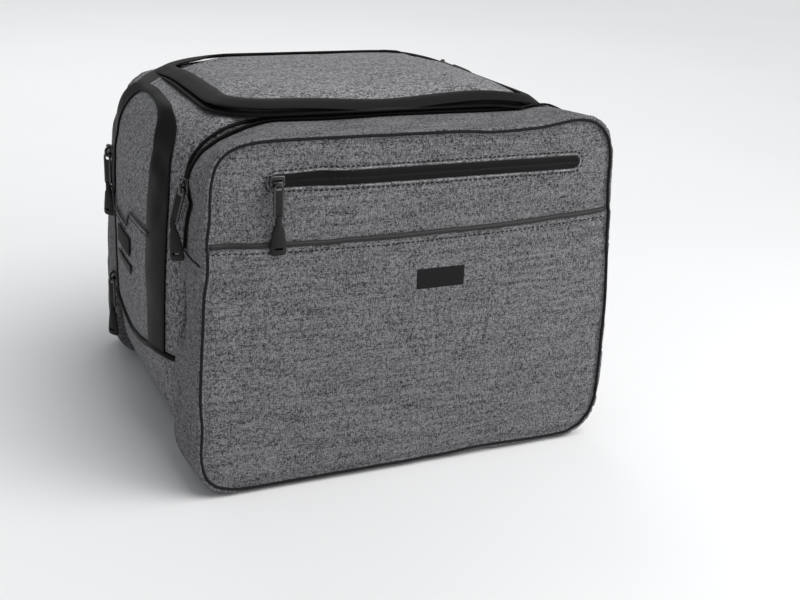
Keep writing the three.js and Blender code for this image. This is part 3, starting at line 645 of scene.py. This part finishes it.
coated = tape_finish()
for name, side in [("left", -1), ("right", 1)]:
    inner, outer = ([Vector((side * x, y, z)) * MM for x, y, z in edge]
                    for edge in (ARCH_INNER, ARCH_OUTER))
    arch = band_on_trunk(name + "_end_tape", inner, outer, 0.2 * MM, 1.4 * MM, 130)
    dressed(arch, coated, "coated_tape", name + "_end_zip")

# a patch of the same tape fills the left shoulder between the arch and the lid's far corner
LINK_NEAR = points((-137, 27, 238.5), (-129.6, 36.5, 239.6), (-122, 47.7, 240), (-110, 60, 240.3))
LINK_FAR = points((-144, 54, 227), (-134, 78, 230), (-119, 84, 236), (-98, 87, 240))
link = band_on_trunk("left_link_tape", LINK_NEAR, LINK_FAR, 0.3 * MM, 1.2 * MM, 12)
dressed(link, coated, "coated_tape")

# Lid's zip and the storm flap over it: coated tape lies round the lid on the trunk's top, and a
# second, wider one folds down over it from the lid's edge.

CORNER_STEPS, SIDE_STEPS = 12, 16
FLAP_OVER, FLAP_FAR_RISE = 9, 1.8


def round_the_lid(out):
    """Points round the lid, out from its side, as many for any distance."""
    radius = max(2 * MM, LID_CORNER + out)
    x, y = LID_HALF_LENGTH + out - radius, LID_HALF_WIDTH + out - radius
    line = []
    for k, (cx, cy) in enumerate([(x, y), (-x, y), (-x, -y), (x, -y)]):
        for i in range(CORNER_STEPS + 1):
            turn = math.pi / 2 * (k + i / CORNER_STEPS)
            line.append(Vector((cx + radius * math.cos(turn), cy + radius * math.sin(turn), 0)))
        ahead = [(-x, y + radius), (-x - radius, -y), (x, -y - radius), (x + radius, y)][k]
        last = line[-1]
        for i in range(1, SIDE_STEPS):
            line.append(last.lerp(Vector((*ahead, 0)), i / SIDE_STEPS))
    return [*line, line[0].copy()]


# rows of how far out from the lid's side and how high above its foot, in millimetres
FLAP = [(-4, 6.2), (-2, 6.9), (0.5, 6.6), (3, 5.6), (6, 4.2), (9, 2.9)]
ZIP_TAPE = [(2, 2.2), (5, 1.6), (8, 1.0), (11, 0.4)]


def strip_round_lid(name, profile, thickness, lifted, over=0):
    """Tape round the lid. Its inner edge lies over the lid, on the far side by so many millimetres more."""
    lines = [round_the_lid(out * MM) for out, _ in profile]
    rows = []
    for i in range(len(lines[0])):
        row = []
        for k, ((out, rise), line) in enumerate(zip(profile, lines)):
            p = line[i].copy()
            far = eased(p.y, 45 * MM, 88 * MM) if over else 0
            p.y -= over * MM * far * max(0, 1 - k / 3)
            p.z = lid_base(p.x, p.y) + (rise + FLAP_FAR_RISE * far) * MM + lifted * lid_lift(p.x, p.y)
            hit, at, _, _ = lid.ray_cast(Vector((p.x, p.y, 0.3)), Vector((0, 0, -1)))
            if over and hit:
                p.z = max(p.z, at.z + (0.4 + 1.4 * far) * MM)
            row.append(p)
        rows.append(row)
    return ribbon(name, rows, thickness, True)


flap = strip_round_lid("lid_flap", FLAP, 1.3 * MM, 1, FLAP_OVER)
dressed(flap, coated, "coated_tape", "lid_storm_flap")
tape = strip_round_lid("lid_tape", ZIP_TAPE, 1.2 * MM, 0)
dressed(tape, coated, "coated_tape", "lid_zip_tape")


# Front of each side pocket: the seam round it, the satin piping over the lower panel's upper edge,
# a coated zip in a slot with round ends, and the rows of stitches that hold them.

WINDOW_LEFT, WINDOW_RIGHT, WINDOW_Z, WINDOW_HEIGHT = -103 * MM, 115.5 * MM, 211.2 * MM, 9.6 * MM
STITCH, STITCH_GAP, THREAD = 2.3 * MM, 1.1 * MM, 0.42 * MM


def on_front(x, z, lift):
    """A place on the near pocket's front, lifted off it."""
    hit, place, normal, _ = pocket.ray_cast(Vector((x, -0.25, z)), Vector((0, 1, 0)))
    if not hit or abs(normal.y) < 0.3:
        _, place, normal, _ = pocket.closest_point_on_mesh(Vector((x, -POCKET_FRONT - 3 * MM, z)))
    return place + normal * lift


def curve_along(name, line):
    """A bare curve through a line of points."""
    curve = bpy.data.curves.new(name, "CURVE")
    curve.dimensions = "3D"
    spline = curve.splines.new("POLY")
    spline.points.add(len(line) - 1)
    for point, place in zip(spline.points, line):
        point.co = (*place, 1)
    made = bpy.data.objects.new(name, curve)
    bpy.context.scene.collection.objects.link(made)
    return made


def cord(name, line, radius, closed=False):
    """A thin sewn cord along a line of points."""
    piece = curve_along(name, line)
    piece.data.bevel_depth = radius
    piece.data.bevel_resolution = 3
    piece.data.use_fill_caps = True
    piece.data.splines[0].use_cyclic_u = closed
    only(piece)
    bpy.ops.object.convert(target="MESH")
    return bpy.context.object


def stitches(name, lines):
    """Rows of short stitches along some lines, joined into one piece."""
    rows = []
    for line in lines:
        length = sum((b - a).length for a, b in zip(line, line[1:]))
        count = max(1, int(length / (STITCH + STITCH_GAP)))
        guide = curve_along("stitch line", line)
        bpy.ops.object.select_all(action="DESELECT")
        bpy.ops.mesh.primitive_uv_sphere_add(segments=6, ring_count=4, radius=1)
        row = bpy.context.object
        bpy.ops.object.mode_set(mode="EDIT")
        bpy.ops.mesh.select_all(action="SELECT")
        bpy.ops.transform.resize(value=(STITCH / 2, THREAD, THREAD))
        bpy.ops.transform.translate(value=(STITCH / 2, 0, 0))
        bpy.ops.object.mode_set(mode="OBJECT")
        finished(row, "ARRAY", count=count, use_relative_offset=False, use_constant_offset=True,
                 constant_offset_displace=(length / count, 0, 0))
        finished(row, "CURVE", object=guide, deform_axis="POS_X")
        bpy.data.objects.remove(guide)
        rows.append(row)
    only(*rows)
    if len(rows) > 1:
        bpy.ops.object.join()
    piece = rows[0]
    piece.name = name
    smooth(piece, 180)
    return piece


def thread_finish():
    """Polyester thread, nearly black, faintly glossy."""
    made, tree, shader = finish_of("dark thread", Roughness=0.8, Sheen_Weight=0.02)
    shader.inputs["Specular IOR Level"].default_value = 0.1
    place = node(tree, "TexCoord").outputs["Object"]
    twist = node(tree, "TexNoise", Vector=place, Scale=2600.0).outputs["Fac"]
    toned(tree, shader, twist, (0.006, 0.006, 0.006), (0.02, 0.02, 0.021))
    bumped(tree, shader, twist, 0.4, 0.1 * MM)
    return made


def piping_finish():
    """Satin piping: a fine woven tape round a cord, dark grey where it catches the light."""
    made, tree, shader = finish_of("satin piping", Roughness=0.5, Sheen_Weight=0.03)
    shader.inputs["Specular IOR Level"].default_value = 0.25
    place = node(tree, "TexCoord").outputs["Object"]
    fibre = node(tree, "Mapping", Vector=place, Scale=(900, 900, 2600)).outputs[0]
    noise = node(tree, "TexNoise", Vector=fibre, Scale=1.0, Detail=2.0).outputs["Fac"]
    toned(tree, shader, noise, (0.008, 0.008, 0.008), (0.03, 0.03, 0.03))
    bumped(tree, shader, noise, 0.4, 0.1 * MM)
    return made


thread, piping = thread_finish(), piping_finish()


def on_both_sides(piece, slot, *far_nodes):
    """Copies a finished near piece to the far pocket."""
    far = mirrored(piece, piece.name.replace("near", "far", 1))
    smooth(far)
    joins(far, slot, *far_nodes)


# the seam cord is near-black and thicker than a thread: its dark line is partly the real seam and partly
# painted shade in the crease between gusset and front
seam_places = [p.lerp(q, 0.4) for p, q in zip(front_outline, inner_line)]
seam_line = spaced([*seam_places, seam_places[0]], 4 * MM)[:-1]
for _ in range(4):
    before, after = seam_line[-1:] + seam_line[:-1], seam_line[1:] + seam_line[:1]
    seam_line = [(a + b * 2 + c) / 4 for a, b, c in zip(before, seam_line, after)]
seam_line = softened([on_front(p.x, p.z, 0.1 * MM) for p in seam_line], 1, True)
seam = cord("near_front_seam", seam_line, 1 * MM, True)
dressed(seam, thread, "piping")
on_both_sides(seam, "piping")

reach = 139 * MM
steps = [(-reach + 2 * reach * i / 90) for i in range(91)]
piping_line = [on_front(x, pocket_line(x) + 1.2 * MM, 0.6 * MM) for x in steps]
line_piping = cord("near_piping", piping_line, 1.7 * MM)
dressed(line_piping, piping, "piping", "near_line_piping")
on_both_sides(line_piping, "piping", "far_line_piping")

radius = WINDOW_HEIGHT / 2
WINDOW_SECTION = [(-1, -0.2), (-0.8, 0.35), (-0.4, 0.5), (-0.1, 0.3), (0, 0), (0.1, 0.3), (0.4, 0.5),
                  (0.8, 0.35), (1, -0.2)]
window_rows = []
for i in range(81):
    x = WINDOW_LEFT + (WINDOW_RIGHT - WINDOW_LEFT) * (0.5 - 0.5 * math.cos(math.pi * i / 80))
    inside = min(x - WINDOW_LEFT, WINDOW_RIGHT - x)
    half = radius * math.sqrt(max(0.001, 1 - (1 - min(1, inside / radius)) ** 2))
    window_rows.append([on_front(x, WINDOW_Z + half * share, lift * MM) for share, lift in WINDOW_SECTION])
window = ribbon("near_window", window_rows, 0.8 * MM)
dressed(window, coated, "coated_tape", "near_zip_window")
on_both_sides(window, "coated_tape", "far_zip_window")


def round_slot(out):
    """Points round the zip's slot, out from its edge, from its left end clockwise."""
    r = radius + out
    left, right = WINDOW_LEFT + radius, WINDOW_RIGHT - radius
    length = right - left
    turns = [math.pi * (1.5 - i / 12) for i in range(13)]
    flat = [(left + r * math.cos(turn), WINDOW_Z + r * math.sin(turn)) for turn in turns]
    flat += [(left + length * i / 60, WINDOW_Z + r) for i in range(1, 60)]
    flat += [(right - r * math.cos(turn), WINDOW_Z - r * math.sin(turn)) for turn in turns]
    flat += [(right - length * i / 60, WINDOW_Z - r) for i in range(1, 61)]
    return [on_front(x, z, 0.15 * MM) for x, z in flat]


under_piping = [on_front(x, pocket_line(x) - 3.2 * MM, 0.15 * MM) for x in steps]
welt = cord("near_window_welt", round_slot(0.7 * MM)[:-1], 0.6 * MM, True)
# the welt takes the lid's lighter canvas, whose lighter tone is partly painted sheen
dressed(welt, lid_canvas, "canvas")
on_both_sides(welt, "canvas")

front_stitches = stitches("near_front_stitches", [round_slot(2.3 * MM), under_piping])
front_stitches.data.materials.append(thread)
joins(front_stitches, "piping")
on_both_sides(front_stitches, "piping")

# Label: a small woven patch, bare, sewn on to the near pocket's lower panel along its edge.

LABEL_LEFT, LABEL_RIGHT, LABEL_Z, LABEL_HEIGHT = -3.7 * MM, 31.2 * MM, 140.8 * MM, 14 * MM


def label_finish():
    """Woven label: black satin with fine ribs across it."""
    made, tree, shader = finish_of("woven label", Roughness=0.75)
    shader.inputs["Specular IOR Level"].default_value = 0.15
    place = node(tree, "TexCoord").outputs["Object"]
    ribs = node(tree, "TexWave", {"bands_direction": "Z"}, Vector=place, Scale=420.0,
                Distortion=1.0).outputs["Fac"]
    fuzz = node(tree, "TexNoise", Vector=place, Scale=1800.0).outputs["Fac"]
    level = sums(tree, "MULTIPLY", ribs, fuzz)
    toned(tree, shader, level, (0.007, 0.007, 0.008), (0.018, 0.018, 0.019))
    bumped(tree, shader, level, 0.3, 0.1 * MM)
    return made


woven = label_finish()
label_rows = []
for i in range(13):
    x = LABEL_LEFT + (LABEL_RIGHT - LABEL_LEFT) * i / 12
    label_rows.append([on_front(x, LABEL_Z + LABEL_HEIGHT * (j / 6 - 0.5), 0.15 * MM) for j in range(7)])
label = ribbon("near_front_label", label_rows, 0.7 * MM)
dressed(label, woven, "label", "near_label")


# Zip round the top of each gusset, close to the trunk: a coated tape with a coil down its middle.
# A thin black cord stands behind it, along the pocket's rear edge where it is sewn to the trunk: its black
# is painted shade.

GUSSET_TAPE, GUSSET_TAPE_AT, GUSSET_TAPE_DIP, TOP_OF_ENDS = 7 * MM, 3.5 * MM, 8 * MM, 160 * MM


def on_gusset(place, lift):
    """A place on the near pocket's gusset, lifted off it."""
    _, at, normal, _ = pocket.closest_point_on_mesh(place)
    return at + normal * lift


over_top = [p for p in outline_of("near_gusset", -POCKET_REAR, 8 * MM) if p.z > TOP_OF_ENDS]
over_top = spaced(softened([Vector((over_top[0].x, 0, TOP_OF_ENDS)), *over_top,
                            Vector((over_top[-1].x, 0, TOP_OF_ENDS))], 2), 4 * MM)


def gusset_row(p, width, lift, steps=4):
    at = GUSSET_TAPE_AT + GUSSET_TAPE_DIP * eased(POCKET_HEIGHT - p.z, 2 * MM, 24 * MM)
    outside = bellied(Vector((p.x * 1.01, -POCKET_REAR, p.z + 2 * MM)))
    return [on_gusset(Vector((outside.x, -POCKET_REAR - at + width * (0.5 - j / steps), outside.z)), lift)
            for j in range(steps + 1)]


gusset_tape = ribbon("near_gusset_tape", [gusset_row(p, GUSSET_TAPE, 0.1 * MM) for p in over_top], 0.9 * MM)
coil = cord("near_gusset_coil", [gusset_row(p, 0, 1.1 * MM, 1)[0] for p in over_top], 0.9 * MM)
EDGE = [(143.6, 196), (143.6, 200), (141.5, 208), (139, 215), (132.4, 224), (122.8, 231.7), (106.7, 238),
        (67, 241)]
edge_line = points(*[(-x, -93.5, z) for x, z in EDGE], *[(x, -93.5, z) for x, z in reversed(EDGE)])
edge_line = [on_trunk(p, 0.6 * MM) for p in spaced(softened(edge_line, 2), 3 * MM)]
# black cord along the pocket's rear edge: painted shade where the pocket meets the trunk
edge = cord("near_gusset_edge", edge_line, 1.1 * MM)
for piece, finish, slot, nodes in [(gusset_tape, coated, "coated_tape", ["gusset_zip"]),
                                   (coil, coated, "coated_tape", []), (edge, coated, "piping", [])]:
    dressed(piece, finish, slot, *["near_" + each for each in nodes])
    on_both_sides(piece, slot, *["far_" + each for each in nodes])

# a seam crosses the gusset where the zip ends
for name, side in [("left", -1), ("right", 1)]:
    across = [on_gusset(Vector((side * 0.16, y * MM, TOP_OF_ENDS + 1 * MM)), 0.1 * MM)
              for y in range(-137, -97, 3)]
    cross_seam = cord("near_" + name + "_cross_seam", softened(across, 1), 0.6 * MM)
    dressed(cross_seam, thread, "piping")
    on_both_sides(cross_seam, "piping")

# Seam round the trunk's foot: piping sewn in across each end and round both upright corners, until
# the side pockets cover it.

SEAM_HEIGHT, SEAM_RISE, CORNER = 47 * MM, 12 * MM, 24 * MM


def seam_height(y):
    return BASE + SEAM_HEIGHT + SEAM_RISE * eased(abs(y), 0, 75 * MM)


def round_the_end(side, lift):
    flat = TRUNK_SIDE - CORNER
    line = []
    for i in range(-15, 16):
        y = flat * min(1, max(-1, i / 10))
        turn = math.radians(16) * max(0, abs(i) - 10)
        plan = Vector((side * math.cos(turn), math.copysign(math.sin(turn), i), 0))
        height = seam_height(y + math.copysign(CORNER * math.sin(turn), i))
        outside = Vector((side * 0.131, y, height)) + plan * 40 * MM
        _, at, normal, _ = trunk.closest_point_on_mesh(outside)
        line.append(at + normal * lift)
    return softened(line, 2)


for name, side in [("left", -1), ("right", 1)]:
    foot_piping = cord(name + "_foot_cord", round_the_end(side, 0.6 * MM), 2.1 * MM)
    dressed(foot_piping, coated, "piping", name + "_foot_piping")

# Patch pocket on the left end: a flat canvas pocket with a notch in its upper edge, bound and
# stitched, with a bare woven label and a loop of webbing for a clip.

PATCH_HALF_WIDTH, PATCH_TOP, NOTCH_DEPTH = 58 * MM, 158 * MM, 11.5 * MM
NOTCH_MIDDLE, NOTCH_HALF, LABEL_MIDDLE = 19 * MM, 26 * MM, 7 * MM


def patch_top(y):
    beside = eased(abs(y - NOTCH_MIDDLE), NOTCH_HALF - 5 * MM, NOTCH_HALF + 5 * MM)
    return PATCH_TOP - NOTCH_DEPTH * (1 - beside)


patch_rows = []
for j in range(15):
    share = j / 14
    row = []
    for i in range(61):
        y = PATCH_HALF_WIDTH * (i / 30 - 1)
        low = seam_height(y) + 3 * MM
        row.append(on_end(-1, y, low + (patch_top(y) - low) * share, 0.5 * MM))
    patch_rows.append(row)
patch = ribbon("left_patch", patch_rows, 1.5 * MM)
dressed(patch, trunk_canvas, "canvas", "left_patch_pocket")

across = [PATCH_HALF_WIDTH * (i / 40 - 1) for i in range(81)]
rim = cord("left_patch_edge", [on_end(-1, y, patch_top(y), 1.9 * MM) for y in across], 0.8 * MM)
dressed(rim, piping, "piping")
seams = stitches("left_patch_stitches", [[on_end(-1, y, patch_top(y) - 3 * MM, 2.2 * MM) for y in across]])
seams.data.materials.append(thread)
joins(seams, "piping")

for name, high, low, half, finish, slot, node_name in [
        ("left_label", 139.5, 126.5, 20, woven, "label", "left_end_label"),
        ("left_loop", 120, 114, 21, coated, "piping", "left_lamp_loop")]:
    rows = [[on_end(-1, LABEL_MIDDLE + half * MM * (i / 6 - 1), (low + (high - low) * j / 4) * MM, 2.2 * MM)
             for i in range(13)] for j in range(5)]
    tab = ribbon(name, rows, 0.8 * MM)
    dressed(tab, finish, slot, node_name)

# Zip pulls: a slider of black enamelled metal with a bridge, a long wire ring, and a flared rubber grip
# with a slot near its foot and a flat neck that fills the ring: partly the grip's neck, partly painted shade
# inside the ring.

SLIDER = (7, 3.2, 10)
RING_WIDTH, RING_WIRE, STAND = 7, 0.85, 5.2
PULL_LEG = 63 * MM
GRIP = [(1.9, 1.7, 1.5), (1.2, 2.1, 1.8), (-3.6, 2.2, 1.8), (-5.2, 3.3, 1.9), (-8, 3.9, 1.9),
        (-14, 4.8, 1.9), (-20, 5.4, 1.8), (-22, 5.2, 1.6), (-23, 4.2, 1.1)]


def moulded(profile):
    """A solid with oval sections, drawn down from its top: rows of height, half width, half depth."""
    top, width, depth = profile[0]
    bpy.ops.object.select_all(action="DESELECT")
    bpy.ops.mesh.primitive_circle_add(vertices=20, radius=1, fill_type="NGON", location=(0, 0, 0))
    piece = bpy.context.object
    bpy.ops.object.mode_set(mode="EDIT")
    bpy.ops.mesh.select_all(action="SELECT")
    bpy.ops.transform.resize(value=(width, depth, 1))
    bpy.ops.transform.translate(value=(0, 0, top))
    for (z, w, d), (old, w0, d0) in zip(profile[1:], profile):
        bpy.ops.mesh.extrude_region_move(TRANSFORM_OT_translate={"value": (0, 0, z - old)})
        bpy.ops.transform.resize(value=(w / w0, d / d0, 1), center_override=(0, 0, z))
    bpy.ops.mesh.select_all(action="SELECT")
    bpy.ops.mesh.normals_make_consistent(inside=False)
    bpy.ops.object.mode_set(mode="OBJECT")
    return piece


def box_of(width, depth, height, at):
    bpy.ops.object.select_all(action="DESELECT")
    bpy.ops.mesh.primitive_cube_add(size=1)
    piece = bpy.context.object
    bpy.ops.object.mode_set(mode="EDIT")
    bpy.ops.mesh.select_all(action="SELECT")
    bpy.ops.transform.resize(value=(width, depth, height))
    bpy.ops.transform.translate(value=at)
    bpy.ops.object.mode_set(mode="OBJECT")
    return piece


def enamel_finish():
    """Black enamelled metal, glossy, with fine handling marks in its gloss."""
    made, tree, shader = finish_of("black enamel", Roughness=0.2, Coat_Weight=0.5, Coat_Roughness=0.1)
    shader.inputs["Base Color"].default_value = (0.008, 0.008, 0.009, 1)
    place = node(tree, "TexCoord").outputs["Object"]
    marks = node(tree, "TexNoise", Vector=place, Scale=900.0, Detail=4.0).outputs["Fac"]
    rough = node(tree, "MapRange", Value=marks, To_Min=0.12, To_Max=0.38)
    tree.links.new(rough.outputs[0], shader.inputs["Roughness"])
    return made


def rubber_finish():
    """Moulded rubber: matt black with a fine grain."""
    made, tree, shader = finish_of("moulded rubber", Roughness=0.6)
    shader.inputs["Specular IOR Level"].default_value = 0.2
    place = node(tree, "TexCoord").outputs["Object"]
    grain = node(tree, "TexNoise", Vector=place, Scale=2200.0, Detail=2.0).outputs["Fac"]
    toned(tree, shader, grain, (0.009, 0.009, 0.009), (0.018, 0.018, 0.018))
    bumped(tree, shader, grain, 0.3, 0.1 * MM)
    return made


enamel, rubber = enamel_finish(), rubber_finish()


def slider_piece(flat):
    """The slider's body and bridge, upright, or lying along a level zip if flat."""
    width, depth, height = SLIDER
    body = box_of(width, depth, height, (0, -depth / 2 - 0.2, 0))
    finished(body, "BEVEL", width=1.1, segments=3, limit_method="ANGLE", angle_limit=1)
    arch = [Vector((0, -depth + 0.4, 3.4)), Vector((0, -STAND, 2.9)), Vector((0, -STAND - 1.4, 1.4)),
            Vector((0, -STAND - 1.4, -1.4)), Vector((0, -STAND, -2.9)), Vector((0, -depth + 0.4, -3.4))]
    bridge = cord("bridge", softened(arch, 2), 0.9)
    only(body, bridge)
    bpy.ops.object.join()
    if flat:
        body.data.transform(Matrix.Rotation(math.pi / 2, 4, "Y"))
    return body


def ring_piece(length):
    """The wire ring, from the bridge down."""
    r = RING_WIDTH / 2 - RING_WIRE
    high, low = -0.4 - RING_WIRE - r, -0.4 - length + RING_WIRE + r
    turns = [math.pi * i / 12 for i in range(13)]
    line = [Vector((r * math.cos(turn), -STAND, high + r * math.sin(turn))) for turn in turns]
    line += [Vector((-r * math.cos(turn), -STAND, low - r * math.sin(turn))) for turn in turns]
    return cord("ring", line, RING_WIRE, True)


def grip_piece(length):
    """The rubber grip, hung from the ring's lower end."""
    grip = moulded(GRIP)
    finished(grip, "BEVEL", width=0.4, segments=2, limit_method="ANGLE", angle_limit=0.7)
    slot = box_of(5, 12, 1.5, (0, 0, -18.5))
    finished(grip, "BOOLEAN", object=slot, operation="DIFFERENCE", solver="EXACT")
    bpy.data.objects.remove(slot)
    grip.data.transform(Matrix.Translation((0, -STAND, -0.4 - length + 0.3)))
    return grip


def neck_piece(length):
    """The grip's flat neck, which fills the ring: partly the grip's neck, partly a black plate of painted
    shade inside the ring.
    """
    neck = box_of(RING_WIDTH - 2 * RING_WIRE, 0.9, length * 0.7, (0, -STAND, -0.4 - length * 0.56))
    finished(neck, "BEVEL", width=0.25, segments=2, limit_method="ANGLE", angle_limit=1)
    return neck


def hung(at, out, down):
    """Where a pull hangs: at a place on a zip, out off the zip, down the way it hangs, in millimetres."""
    y = -out.normalized()
    x = y.cross(-down).normalized()
    z = x.cross(y)
    return Matrix.Translation(at) @ Matrix((x, y, z)).transposed().to_4x4() @ Matrix.Scale(MM, 4)


def pull(name, at, out, down, length=23, flat=False, lean=(0, 0)):
    """One zip pull. lean turns the ring and then the grip sideways about the bridge, in degrees."""
    place = hung(at, out, down)
    ring_turn = Matrix.Rotation(math.radians(lean[0]), 4, "Y")
    foot = Matrix.Translation((0, 0, -length))
    grip_turn = ring_turn @ foot @ Matrix.Rotation(math.radians(lean[1]), 4, "Y") @ foot.inverted()
    made = []
    for part, piece, turn, finish, slot in [
            ("slider", slider_piece(flat), Matrix.Identity(4), enamel, "black_metal"),
            ("ring", ring_piece(length), ring_turn, enamel, "black_metal"),
            ("neck", neck_piece(length), ring_turn, rubber, "grip_rubber"),
            ("grip", grip_piece(length), grip_turn, rubber, "grip_rubber")]:
        piece.name = name + "_pull_" + part
        piece.data.transform(place @ turn)
        nodes = [] if part == "neck" else ["_" + part]
        dressed(piece, finish, slot, *[name + each for each in nodes])
        made.append((piece, slot, nodes))
    return made


near_side, down = Vector((0, -1, 0)), Vector((0, 0, -1))
at = on_front(-98.5 * MM, WINDOW_Z + 1.5 * MM, 1 * MM)
for piece, slot, nodes in pull("near_front", at, near_side, down, flat=True):
    on_both_sides(piece, slot, *["far_front" + each for each in nodes])
at = on_gusset(Vector((-0.155, -POCKET_REAR - 9 * MM, 201 * MM)), 0.5 * MM)
pull("near_gusset", at, Vector((-0.75, -0.65, 0.1)), down, 25, lean=(12, -24))
for name, z in [("upper", 183), ("lower", 86)]:
    at = on_end(-1, PULL_LEG, z * MM, 0.8 * MM)
    pull("left_end_" + name, at, Vector((-1, -0.6, 0)), down, 25)
lid_pull = Vector((LID_HALF_LENGTH, LID_HALF_WIDTH - 18 * MM, 0))
lid_pull.z = lid_base(lid_pull.x, lid_pull.y) + 2.6 * MM
pull("lid", lid_pull, Vector((0.35, 0, 1)), near_side, 22)
